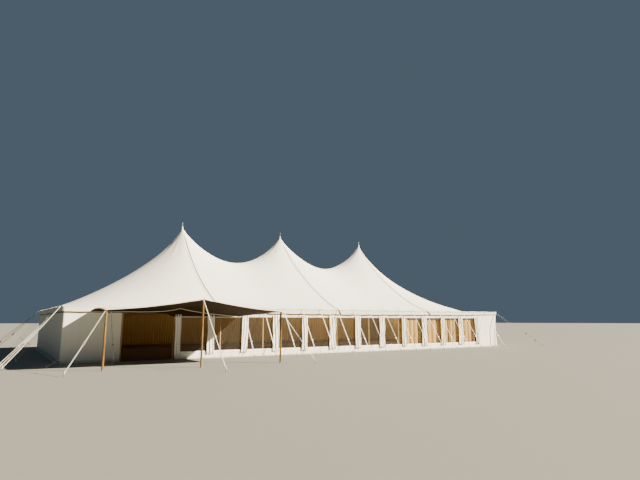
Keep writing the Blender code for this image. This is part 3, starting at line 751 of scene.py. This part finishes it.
# the end of each seam's dark tape, hanging over the valance, partly lacing and partly painted shadow: how far
# it goes aside and down
tail = {"width": 0.046, "out": 0.010, "aside": (0.10, 0.16, 0.30), "down": (0.15, 0.28, 0.20)}
tails = clothMesh()
for place, aside, down in zip(kingPlaces, tail["aside"], tail["down"]):
    for side in (-1, 1):
        first = Vector((place + seam["width"] / 2, side * (eaveY + tail["out"]), eaveZ - 0.004))
        last = first + Vector((aside, 0, -down))
        addTape(tails, lambda share: (first.lerp(last, share**0.8), (down, 0, aside)), tail["width"], 5)
addPiece("seamTails", tails, [laceAndShadowTape])
print("valances")

# Walls: hung cloth with upright folds, the top leaning out to the eave
wall = {
    "fold": 0.011, "lean": 0.008, "leanFrom": 1.45, "base": -0.006, "spareCloth": 1.02,
    "thickness": 0.003, "column": 0.055, "row": 0.10,
}


def wallOffset(along, z, seed):
    folds = 0.6 * math.sin(math.tau * along / 0.66 + 1.3 * math.sin(along * 0.7 + seed))
    folds += 0.4 * math.sin(math.tau * along / 0.29 + 2.0 * math.sin(along * 0.37 + seed))
    folds += uneven(along * 1.1, z * 0.5, seed)
    grow = 0.4 + 0.6 * (1 - z / wallTop)
    foot = 0.018 * softStep(0.12, 0.0, z) * (1 + uneven(along * 3.0, seed, 1.0))
    lean = wall["lean"] * softStep(wall["leanFrom"], wallTop, z)
    return wall["fold"] * (1 + folds) * grow + foot + lean


def wallPlace(start, end, outward, heightOf, seed):
    # near a corner of the hall the cloth also leans along its run, so that it meets the next wall
    run = Vector(end) - Vector(start)
    atCorner = [abs(abs(spot[0]) - wallX) + abs(abs(spot[1]) - wallY) < 0.01 for spot in (start, end)]

    def place(u, v):
        along = u * run.length
        z = heightOf(v)
        spot = Vector(start) + run * u
        away = wallOffset(along, z, seed) + wall["base"]
        if atCorner[0] and along < 1:
            spot -= run.normalized() * away * (1 - along) ** 2
        if atCorner[1] and run.length - along < 1:
            spot += run.normalized() * away * (1 - run.length + along) ** 2
        out = Vector(outward) * away
        hookDip = 0.010 * abs(math.sin(math.pi * along / 0.305)) * softStep(wallTop - 0.2, wallTop, z)
        hemWave = 0.010 * max(0.5 + uneven(along * 2.4, seed, 5.0), 0.0) * softStep(0.15, 0.0, z)
        return Vector((spot.x + out.x, spot.y + out.y, z - hookDip + hemWave))

    return place


def addWall(name, node, start, end, outward, seed, cloth=walling):
    length = (Vector(end) - Vector(start)).length
    place = wallPlace(start, end, outward, lambda v: v * wallTop, seed)
    piece = addSheet(
        name, round(length / wall["column"]), round(wallTop / wall["row"]), place, wall["thickness"],
        [cloth], (*outward, 0), lambda u, v: (u * length, v * wallTop),
    )
    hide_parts(node)


addWall("frontWallLeft", "front_wall_left", (-wallX, -wallY), (doorLeft, -wallY), (0, -1), 3)
addWall("frontWallRight", "front_wall_right", (windowsEnd, -wallY), (wallX, -wallY), (0, -1), 5)
# the back and left walls are greyed with painted shade
addWall("backWall", "back_wall", (-wallX, wallY), (wallX, wallY), (0, 1), 8, paintedShadeWalling)
addWall("leftWall", "left_wall", (-wallX, -wallY), (-wallX, wallY), (-1, 0), 11, paintedShadeWalling)
addWall("rightWall", "right_wall", (wallX, -wallY), (wallX, wallY), (1, 0), 14)

# A dark tape down the plain panel at the right: the laced lap's cord, with the shadow of its loose edge painted
# in
lap = {"width": 0.046, "x": 11.56, "aside": 0.46, "bend": 2.4, "foot": 0.06, "height": 1.86, "out": 0.006}


def lapRoute(share):
    z = lap["foot"] + lap["height"] * share
    x = lap["x"] + lap["aside"] * share ** lap["bend"] + 0.03 * math.sin(9 * share)
    away = wallOffset(x - windowsEnd, z, 5) + wall["base"] + lap["out"]
    return Vector((x, -wallY - away, z)), (1, 0, 0.25 * share)


lapTape = clothMesh()
addTape(lapTape, lapRoute, lap["width"], 30)
addPiece("wallLap", lapTape, [laceAndShadowTape])

# Window walls: four openings a section, a clear film behind, gathered strips over the uprights
window = {
    "strip": 0.220, "sill": 0.300, "headBelowTop": 0.360, "perSection": 4, "column": 0.05,
    "rows": (6, 34, 42), "filmIn": 0.14, "filmPast": 0.06, "filmBehind": 0.0125,
}
pitch = (windowsEnd - doorRight) / 12
windowHead = wallTop - window["headBelowTop"]
windowHeight = windowHead - window["sill"]


def windowRow(v):
    # rows up to the sill, then rows up to the head, then the top band
    toSill, toHead, toTop = window["rows"]
    rows = v * toTop
    if rows <= toSill:
        return window["sill"] * rows / toSill
    if rows <= toHead:
        return window["sill"] + windowHeight * (rows - toSill) / (toHead - toSill)
    return windowHead + (wallTop - windowHead) * (rows - toHead) / (toTop - toHead)


# each strip's middle from its even place, its width, its lean from top to foot, its pinch and its twist
strips = [
    (0.10, 0.24, 0.0, 0.0, 0.3), (-0.04, 0.31, 0.0, 0.06, 0.5), (0.01, 0.29, -0.05, 0.0, -0.8),
    (-0.02, 0.32, 0.0, 0.05, 0.3), (-0.01, 0.31, -0.03, 0.10, 0.6), (0.03, 0.37, 0.0, 0.15, 1.4),
    (0.04, 0.34, 0.0, 0.05, 0.4), (0.10, 0.36, 0.0, 0.15, -1.4), (0.08, 0.28, 0.02, 0.05, 0.3),
    (0.08, 0.38, 0.0, 0.20, 1.6), (0.0, 0.30, 0.0, 0.05, 0.4), (-0.05, 0.34, 0.0, 0.10, 0.8),
    (-0.23, 0.30, 0.13, 0.0, 0.3),
]
stripMiddles = [doorRight + number * pitch + settings[0] for number, settings in enumerate(strips)]


def clothThere(x, z):
    # cloth at the uprights, right of the last strip, below the sill and above the head
    beside = min(abs(x - middle) for middle in stripMiddles[:-1]) < window["strip"] / 2 or x > stripMiddles[-1]
    return beside or z < window["sill"] or z > windowHead


length = window["perSection"] * pitch
for number, side in enumerate(("left", "middle", "right")):
    start = doorRight + number * length
    place = wallPlace((start, -wallY), (start + length, -wallY), (0, -1), windowRow, 20 + number)
    piece = addSheet(
        "windowWall" + side.title(), round(length / window["column"]), window["rows"][-1], place,
        wall["thickness"], [walling], (0, -1, 0), lambda u, v: (u * length, windowRow(v)),
        lambda u, v: clothThere(start + u * length, windowRow(v)),
    )
    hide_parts("window_wall_" + side)
    filmLength, filmHeight = length - 2 * window["filmIn"], windowHeight + 2 * window["filmPast"]

    def filmPlace(u, v):
        x = start + window["filmIn"] + filmLength * u
        z = window["sill"] - window["filmPast"] + filmHeight * v
        ripple = 0.0012 * (math.sin(x * 7.0 + 2 * z) + uneven(x * 1.5, z * 1.5, 2.0))
        return Vector((x, -wallY + window["filmBehind"] + ripple, z))

    name = "windowFilm" + side.title()
    film = addSheet(name, 60, 12, filmPlace, 0.0008, [clearFilm], (0, -1, 0))
    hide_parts("window_film_" + side)

# Gathered strips: narrow curtains tied over each upright, pinched and leaning a little
strip = {
    "folds": 2.2, "depth": 0.045, "top": 1.80, "foot": 0.17, "out": 0.020,
    "fullness": 1.15, "thickness": 0.0025,
}
random.seed(7)
for number, (_, width, lean, pinch, twist) in enumerate(strips):
    centre = stripMiddles[number]
    pinchAt = random.uniform(0.35, 0.7)
    phase = random.uniform(0, 6)

    def stripPlace(u, v):
        side = 2 * u - 1
        narrow = 1 - pinch * math.exp(-(((v - pinchAt) / 0.16) ** 2))
        edge = 1 + 0.05 * math.sin(9 * v + phase + side) + 0.04 * uneven(v * 5, phase, side)
        x = centre + side * width / 2 * narrow * edge + lean * (1 - v)
        turn = strip["folds"] * u + twist * v + 0.12 * math.sin(5 * v + phase)
        fold = math.sin(math.tau * turn) * (1 - 0.5 * abs(side))
        fold += 0.5 * uneven(u * 4, v * 3, phase)
        z = strip["foot"] + (strip["top"] - strip["foot"]) * v
        depth = strip["depth"] * (0.5 + 0.5 * fold) * (0.6 + 0.4 * narrow)
        return Vector((x, -wallY - (wallOffset(x - doorRight, z, 20) + strip["out"] + depth), z))

    name = f"gatheredStrip{number + 1}"
    piece = addSheet(name, 30, 24, stripPlace, strip["thickness"], [walling], (0, -1, 0))
print("walls and windows")

# Tan lining in pleats inside the back and end walls, and a curtain in broader ones behind the last windows
pleat = {
    "width": 0.155, "depth": 0.028, "foot": 0.03, "top": 2.0, "in": 0.115,
    "fullness": 1.25, "thickness": 0.002, "column": 0.026,
}
curtain = {**pleat, "width": 0.34, "depth": 0.032, "foot": 0.16}


def addLining(name, start, end, inward, seed, cloth=lining, hung=pleat):
    run = Vector(end) - Vector(start)

    def place(u, v):
        along = u * run.length
        z = hung["foot"] + (hung["top"] - hung["foot"]) * v
        turn = math.tau * along / hung["width"] + 0.9 * uneven(along * 1.3, z * 0.25, seed)
        wave = math.sin(turn) + 0.25 * math.sin(2 * turn + seed)
        away = hung["in"] + hung["depth"] * wave * (0.6 + 0.4 * (1 - v))
        spot = Vector(start) + run * u + Vector(inward) * away
        return Vector((spot.x, spot.y, z))

    columns = round(run.length / hung["column"])
    piece = addSheet(name, columns, 10, place, hung["thickness"], [cloth], (*inward, 0))


liningEnd = wallX - 0.12
liningRun = 2 * liningEnd / 4
for number in range(4):
    low = -liningEnd + number * liningRun
    addLining(f"backLining{number + 1}", (low, wallY), (low + liningRun, wallY), (0, -1), 30 + number)
addLining("leftLining", (-wallX, -wallY + 0.1), (-wallX, wallY - 0.12), (1, 0), 41)
addLining("rightLining", (wallX, -wallY + 0.1), (wallX, wallY - 0.12), (-1, 0), 42)
ends = (windowsEnd - 4.1 * pitch, -wallY), (windowsEnd + 0.5, -wallY)
# the curtain behind the last windows takes the lining darkened with painted shade
addLining("windowCurtain", *ends, (0, 1), 43, paintedShadeCurtain, curtain)

# Sod cloth: a soft skirt that lies on the ground along the foot of the walls
sod = {"width": 0.13, "thickness": 0.002, "column": 0.07, "fromWall": 0.012, "lump": 0.010, "above": 0.004}


def addSodCloth(name, start, end, outward, seed, cloth=walling):
    run = Vector(end) - Vector(start)
    out = Vector(outward)

    def place(u, v):
        along = u * run.length
        wander = sod["width"] * (0.75 + 0.5 * uneven(along * 1.8, seed, 0.0))
        spot = Vector(start) + run * u + out * (sod["fromWall"] + wander * v)
        rise = 0.012 * (1 - v) + sod["lump"] * max(uneven(along * 4.0, v * 2, seed), 0.0) + sod["above"]
        return Vector((spot.x, spot.y, rise))

    columns = round(run.length / sod["column"])
    piece = addSheet(name, columns, 4, place, sod["thickness"], [cloth], (0, 0, 1))


addSodCloth("sodFrontLeft", (-wallX, -wallY), (doorLeft, -wallY), (0, -1), 51)
addSodCloth("sodFront", (doorRight, -wallY), (wallX, -wallY), (0, -1), 52)
# the sod cloth at the back and left is greyed with painted shade
addSodCloth("sodBack", (-wallX, wallY), (wallX, wallY), (0, 1), 53, paintedShadeWalling)
addSodCloth("sodLeft", (-wallX, -wallY), (-wallX, wallY), (-1, 0), 54, paintedShadeWalling)
addSodCloth("sodRight", (wallX, -wallY), (wallX, wallY), (1, 0), 55)
print("lining and sod cloth")

# Poles keep their solids, in timber; the wall rope and the king poles' shoes are added
poleRows = ["front_poles_left", "front_poles_right", "back_poles", "left_end_poles", "right_end_poles"]
for wood, nodes in (
    (kingWood, ["king_pole_left", "king_pole_middle", "king_pole_right"]),
    (poleWood, poleRows),
    (porchWood, ["porch_pole_left", "porch_pole_apex", "porch_pole_right"]),
):
    for node in nodes:
        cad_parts[node].data.materials.clear()
        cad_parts[node].data.materials.append(wood)

ropeLine = {"radius": 0.011, "level": eaveZ - 0.12, "in": 0.03, "step": 0.25}
wallRope = clothMesh()
for node in poleRows:
    low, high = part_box(node)
    middle = (low + high) / 2
    if high.x - low.x > high.y - low.y:
        ends = [(low.x + ropeLine["in"], middle.y), (high.x - ropeLine["in"], middle.y)]
    else:
        ends = [(middle.x, low.y + ropeLine["in"]), (middle.x, high.y - ropeLine["in"])]
    start, end = (Vector((*spot, ropeLine["level"])) for spot in ends)
    count = max(round((end - start).length / ropeLine["step"]), 2)
    addTube(wallRope, [start.lerp(end, i / count) for i in range(count + 1)], ropeLine["radius"])
addPiece("wallRope", wallRope, [rope])

shoe = {"plate": (0.308, 0.308, 0.0145), "middle": 0.0065, "socket": 0.066, "socketTop": 0.13, "bolt": 0.12}
shoes = bmesh.new()
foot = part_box("king_pole_middle")[0].z
for place in kingPlaces:
    spot = Vector((place, 0, foot + shoe["middle"]))
    addBlock(shoes, Matrix.Translation(spot), shoe["plate"], 0.003)
    addRod(shoes, (place, 0, foot + 0.012), (place, 0, foot + shoe["socketTop"]), shoe["socket"], 24)
    for x in (-shoe["bolt"], shoe["bolt"]):
        for y in (-shoe["bolt"], shoe["bolt"]):
            bolt = spot + Vector((x, y, 0))
            addRod(shoes, bolt, bolt + Vector((0, 0, 0.018)), 0.011, 6)
addPiece("kingPoleShoes", shoes, [steel])
print("poles")

# Porch awning: the front rises to the middle pole, and the rear edge hangs below the eave, drawn up at a tie
porch = {
    "start": 0.80, "width": 6.20, "apexToLeft": 0.10, "leftDepth": 3.62, "apexDepth": 4.22, "rightDepth": 3.92,
    "cornerBelowEave": 0.20, "apexAboveEave": 0.17, "edgeSag": 0.05, "sideArch": 0.08, "rightArchShare": 0.1,
    "rear": eaveY + 0.012, "rearBelowEave": 0.205, "tie": (-7.9, 0.16, 0.60), "rearScallop": 0.010,
    "rearCornerDrop": 0.14, "rearCorner": (-7.6, -5.3), "narrow": 0.08, "hem": 0.034,
}


def porchPoint(across, out, lift=0.0):
    sideDepth = porch["leftDepth"] if across < 0 else porch["rightDepth"]
    toApex = 1 - abs(across)
    depth = sideDepth + (porch["apexDepth"] - sideDepth) * toApex
    front = eaveZ - porch["cornerBelowEave"]
    front += (porch["cornerBelowEave"] + porch["apexAboveEave"]) * toApex
    front -= porch["edgeSag"] * 4 * toApex * (1 - toApex)
    rear = eaveZ - porch["rearBelowEave"]
    archShare = 1.0 if across < 0 else porch["rightArchShare"]
    arch = porch["sideArch"] * math.sin(math.pi * out) * across**2 * archShare
    x = -wallX + porch["start"] + porch["width"] * (1 + across) / 2
    x -= porch["narrow"] * across * abs(across) * (1 - out) ** 2 + porch["apexToLeft"] * toApex * out
    y = -(porch["rear"] + (depth + wallY - porch["rear"]) * out)
    tie, rise, spread = porch["tie"]
    scallop = porch["rearScallop"] * abs(math.sin(math.pi * (x - tie) / poleSpacing))
    rear += rise * math.exp(-abs(x - tie) / spread) - scallop
    rear -= porch["rearCornerDrop"] * softStep(*porch["rearCorner"], x)
    return Vector((x, y, rear + (front - rear) * out + arch + lift))


def awningPlace(u, v):
    across = 2 * u - 1
    soft = uneven(u * 5, v * 4, 60.0) * math.sin(math.pi * min(max(v, 0), 1))
    folds = 0.006 * math.cos(10 * math.atan2(across, 1.05 - v)) * softStep(0.5, 1.0, v)
    return porchPoint(across, v, 0.010 * soft + folds)


# the awning's underside is painted dark with shade
awning = addSheet(
    "porchAwning", 72, 48, awningPlace, 0.004, [awningTop, awningUnderPaintedShade], (0, 0, 1),
    lambda u, v: (porch["width"] * u, 4.0 * v),
)
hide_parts("porch_awning")

# A dark brown sheet behind the awning's rear edge, which covers the valance there: painted shade for the deep
# shade under the porch
flapAndShadeSheet = {
    "from": -11.15, "to": -5.55, "foot": 0.26, "lowerBy": 0.13, "head": 0.025, "headDown": 0.115,
    "flat": 0.235,
}


def shadeSheetPlace(u, v):
    # its foot drops beside the doorway to paint shade over the header there, and its head lies lower at the
    # left
    x = flapAndShadeSheet["from"] + (flapAndShadeSheet["to"] - flapAndShadeSheet["from"]) * u
    wave = 0.003 * math.sin(9 * x) + 0.003 * uneven(x * 3, v, 63)
    foot = flapAndShadeSheet["foot"] + flapAndShadeSheet["lowerBy"] * softStep(doorRight - 0.5, doorRight - 0.1, x)
    head = flapAndShadeSheet["head"] + flapAndShadeSheet["headDown"] * softStep(-8.5, -10.0, x)
    return Vector((x, -eaveY - 0.008 - wave, eaveZ - foot + (foot - head) * v))


rearShadeSheet = addSheet("porchRearShadeSheet", 90, 3, shadeSheetPlace, 0.002, [awningUnderPaintedShade], (0, -1, 0))


def hemPlace(u, v):
    # the hem runs up the left edge, along the front and back down the right edge
    if u < 0.25:
        point, out = awningPlace(0.0, u * 4), Vector((-1, 0, 0))
    elif u > 0.75:
        point, out = awningPlace(1.0, (1 - u) * 4), Vector((1, 0, 0))
    else:
        point, out = awningPlace((u - 0.25) * 2, 1.0), Vector((0, -1, 0))
    wave = 0.004 * math.sin(60 * u) + 0.004 * uneven(u * 40, 0, 61)
    return point + out * (0.004 + wave * (1 - v)) + Vector((0, 0, 0.004 - porch["hem"] * (1 - v)))


def rearHemPlace(u, v):
    wave = 0.003 * math.sin(43 * u) + 0.003 * uneven(u * 25, 0, 62)
    return awningPlace(u, 0.0) + Vector((0, -0.008 - wave * (1 - v), 0.006 - porch["hem"] * (1 - v)))


porchHem = addSheet("porchHem", 160, 2, hemPlace, 0.003, [hemTape], (0, -1, 0))
rearHem = addSheet("porchRearHem", 90, 2, rearHemPlace, 0.003, [hemTape], (0, -1, 0))
print("porch")

# Guys: webbing from the eave down to a steel stake, with a buckle or a ratchet
guy = {
    "width": 0.034, "narrowFrom": 2, "narrowShare": 0.65, "reach": 1.25, "slack": 0.012, "buckleAt": 0.70,
    "onStake": 0.10, "loop": 0.022, "loopOut": 0.005, "stake": 0.014, "stakeTop": 0.16, "head": (0.022, 0.017),
    "bandBelowEave": 0.030, "bandOut": 0.0035, "bandWidth": 0.030,
}
bandLevel = eaveZ - guy["bandBelowEave"]

# a ratchet's blocks, each with its middle, size and edge; its rods, each with reach, height, radius and sides
ratchet = {
    "cheek": ((0.031, 0.004, 0.0), (0.003, 0.036, 0.150), 0.001),
    "arm": ((0.034, 0.016, 0.020), (0.003, 0.022, 0.110), 0.001),
    "grip": ((0, 0.026, 0.068), (0.070, 0.010, 0.022), 0.003),
    "spool": (0.036, -0.010, 0.009, 12), "woundWebbing": (0.025, -0.010, 0.018, 16),
    "pin": (0.034, -0.062, 0.006, 10), "rodOut": 0.004,
}
buckle = {"size": (0.064, 0.014, 0.050), "edge": 0.003, "barReach": 0.036, "barOut": 0.006, "bar": 0.006}


def addRatchet(metal, straps, place):
    # two cheeks, a handle folded over them, two pins, and the wound webbing on its spool
    for side, part in ((-1, "cheek"), (-1, "arm"), (1, "cheek"), (1, "arm"), (0, "grip")):
        (x, y, z), size, edge = ratchet[part]
        addBlock(metal, place @ Matrix.Translation((side * x, y, z)), size, edge)
    for target, part in ((metal, "spool"), (straps, "woundWebbing"), (metal, "pin")):
        reach, z, radius, count = ratchet[part]
        addRod(target, *(place @ Vector((x, ratchet["rodOut"], z)) for x in (-reach, reach)), radius, count)


def addStrap(straps, metal, start, stake, tensioner, at, slack, width):
    end = Vector((*stake, guy["onStake"]))
    run = end - start
    across = Vector((run.y, -run.x, 0.0)).normalized()
    normal = run.normalized().cross(across)

    def route(share):
        return start + run * share - Vector((0, 0, slack * 4 * share * (1 - share))), across

    addTape(straps, route, width, 10)
    # the loop round the stake, the stake and its head
    loop, top = (guy["onStake"] - guy["loop"], guy["onStake"] + guy["loop"]), guy["stakeTop"]
    addRod(straps, *((*stake, z) for z in loop), guy["stake"] + guy["loopOut"])
    addRod(metal, (*stake, 0.0), (*stake, top - 0.012), guy["stake"])
    addRod(metal, (*stake, top - 0.014), (*stake, top), guy["head"][0], tip=guy["head"][1])
    middle = route(at)[0]
    place = Matrix.Translation(middle) @ Matrix((across, normal, run.normalized())).transposed().to_4x4()
    if tensioner == "ratchet":
        addRatchet(metal, straps, place)
    else:
        addBlock(metal, place, buckle["size"], buckle["edge"])
        bar = [middle + across * buckle["barReach"] * x + normal * buckle["barOut"] for x in (-1, 1)]
        addRod(metal, *bar, buckle["bar"], 8)


def addStrapPieces(names, straps, metal, nodes=()):
    piece = addPiece(names[0], straps, [webbing])
    if nodes:
        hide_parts(*nodes)
    addPiece(names[1], metal, [steel])


for label, (outward, places, edge, nodes) in sides.items():
    straps, metal = clothMesh(), bmesh.new()
    out = Vector((*outward, 0.0))
    along = Vector((0, 1, 0)) if out.x else Vector((1, 0, 0))
    for place in places:
        start = along * place + out * (edge + guy["bandOut"]) + Vector((0, 0, bandLevel))
        width = guy["width"] * (1.0 if place < guy["narrowFrom"] else guy["narrowShare"])
        stake = (start + out * guy["reach"]).xy
        addStrap(straps, metal, start, stake, "buckle", guy["buckleAt"], guy["slack"], width)
    addStrapPieces(("guyStraps" + label, "guyStakes" + label), straps, metal, nodes)

band = clothMesh()
bandX, bandY = eaveX + guy["bandOut"], eaveY + guy["bandOut"]
for side in (-1, 1):
    for first, last in (
        (Vector((-eaveX, side * bandY, bandLevel)), Vector((eaveX, side * bandY, bandLevel))),
        (Vector((side * bandX, -eaveY, bandLevel)), Vector((side * bandX, eaveY, bandLevel))),
    ):
        addTape(band, lambda share: (first.lerp(last, share), (0, 0, 1)), guy["bandWidth"], 60)
eaveBand = addPiece("eaveBand", band, [webbing])
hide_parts("front_band_over_porch")

# Corner guys: three straps a corner on loops, with ratchets; the front ones lie closer together
corner = {
    "reach": 2.63, "first": 0.05, "spacing": 0.07, "loop": 0.045, "width": 0.034, "slack": 0.02,
    "front": (51, 2.5), "back": (49, 7), "ratchetAt": (0.64, 0.86, 0.22),
    "ring": 0.03, "ringHeight": 0.018, "wire": 0.006,
}
for side, sideName in ((-1, "left"), (1, "right")):
    for depth, depthName in ((-1, "front"), (1, "back")):
        straps, metal = clothMesh(), bmesh.new()
        angle, fan = corner[depthName]
        for number in range(3):
            y = depth * (eaveY - corner["first"] - corner["spacing"] * number)
            hook = Vector((side * bandX, y, bandLevel))
            start = hook + Vector((side * corner["loop"], 0, 0))
            turn = math.radians(angle - fan * number)
            stake = start + corner["reach"] * Vector((side * math.cos(turn), depth * math.sin(turn), 0))
            at = corner["ratchetAt"][number]
            addStrap(straps, metal, start, stake.xy, "ratchet", at, corner["slack"], corner["width"])
            across, up = Vector((side * corner["ring"], 0, 0)), Vector((0, 0, corner["ringHeight"]))
            addRing(metal, hook + across, -across, up, corner["wire"])
        label = depthName.title() + sideName.title()
        nodes = [f"corner_guys_{depthName}_{sideName}"]
        addStrapPieces(("cornerStraps" + label, "cornerMetal" + label), straps, metal, nodes)

# A short line from the foot of the left front corner to a peg
footLine = {
    "from": (-0.02, -0.02, 0.16), "to": (-0.54, -1.70, 0.05), "width": 0.028,
    "peg": 0.010, "pegTop": 0.10,
}
cornerPlace = Vector((-wallX, -wallY, 0))
first, last = cornerPlace + Vector(footLine["from"]), cornerPlace + Vector(footLine["to"])
tie, peg = clothMesh(), bmesh.new()
addTape(tie, lambda share: (first.lerp(last, share), (1, 0, 0)), footLine["width"], 4)
addRod(peg, (last.x, last.y, 0.0), (last.x, last.y, footLine["pegTop"]), footLine["peg"], 10)
addStrapPieces(("cornerTie", "cornerTiePeg"), tie, peg)

# Porch guys: each one's direction in degrees, its reach and its width; a strap round the head and a ferrule
porchGuys = {"left": (226, 1.70, 0.040), "apex": (274, 1.85, 0.020), "right": (314, 1.35, 0.040)}
porchHead = {"strap": 0.0375, "from": 0.058, "to": 0.004, "guyAt": 0.03, "ratchetAt": 0.55, "slack": 0.015}
ferrule = {"radius": 0.0365, "height": 0.05}
for name, (angle, reach, width) in porchGuys.items():
    low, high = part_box("porch_pole_" + name)
    middle = (low + high) / 2
    away = Vector((math.cos(math.radians(angle)), math.sin(math.radians(angle)), 0))
    spot = middle.xy
    start = Vector((*spot, high.z - porchHead["guyAt"])) + away * porchHead["strap"]
    stake = (Vector((*spot, 0)) + away * reach).xy
    straps, metal = clothMesh(), bmesh.new()
    addStrap(straps, metal, start, stake, "ratchet", porchHead["ratchetAt"], porchHead["slack"], width)
    ends = [(*spot, high.z - porchHead[end]) for end in ("from", "to")]
    addRod(straps, *ends, porchHead["strap"], 24)
    addRod(metal, (*spot, 0.0), (*spot, ferrule["height"]), ferrule["radius"], 24)
    names = ("porchStrap" + name.title(), "porchMetal" + name.title())
    addStrapPieces(names, straps, metal, ["porch_guy_" + name])
print("guys")

# Matting: rolls of coir laid side by side across the hall
matting = {"roll": 2.0, "gap": 0.004, "thickness": 0.016, "above": 0.001, "edge": 0.005}
matLow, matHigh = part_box("coir_matting")
matLength, matWidth = matHigh.x - matLow.x, matHigh.y - matLow.y
rolls = bmesh.new()
count = round(matLength / matting["roll"])
rollWidth = matLength / count
size = (rollWidth - matting["gap"], matWidth, matting["thickness"])
for number in range(count):
    start = matLow.x + rollWidth * number
    level = matting["thickness"] / 2 + matting["above"]
    middle = Vector((start + rollWidth / 2, (matLow.y + matHigh.y) / 2, level))
    addBlock(rolls, Matrix.Translation(middle), size, matting["edge"])
mats = addPiece("coirMats", rolls, [coir])
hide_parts("coir_matting")
print("matting")
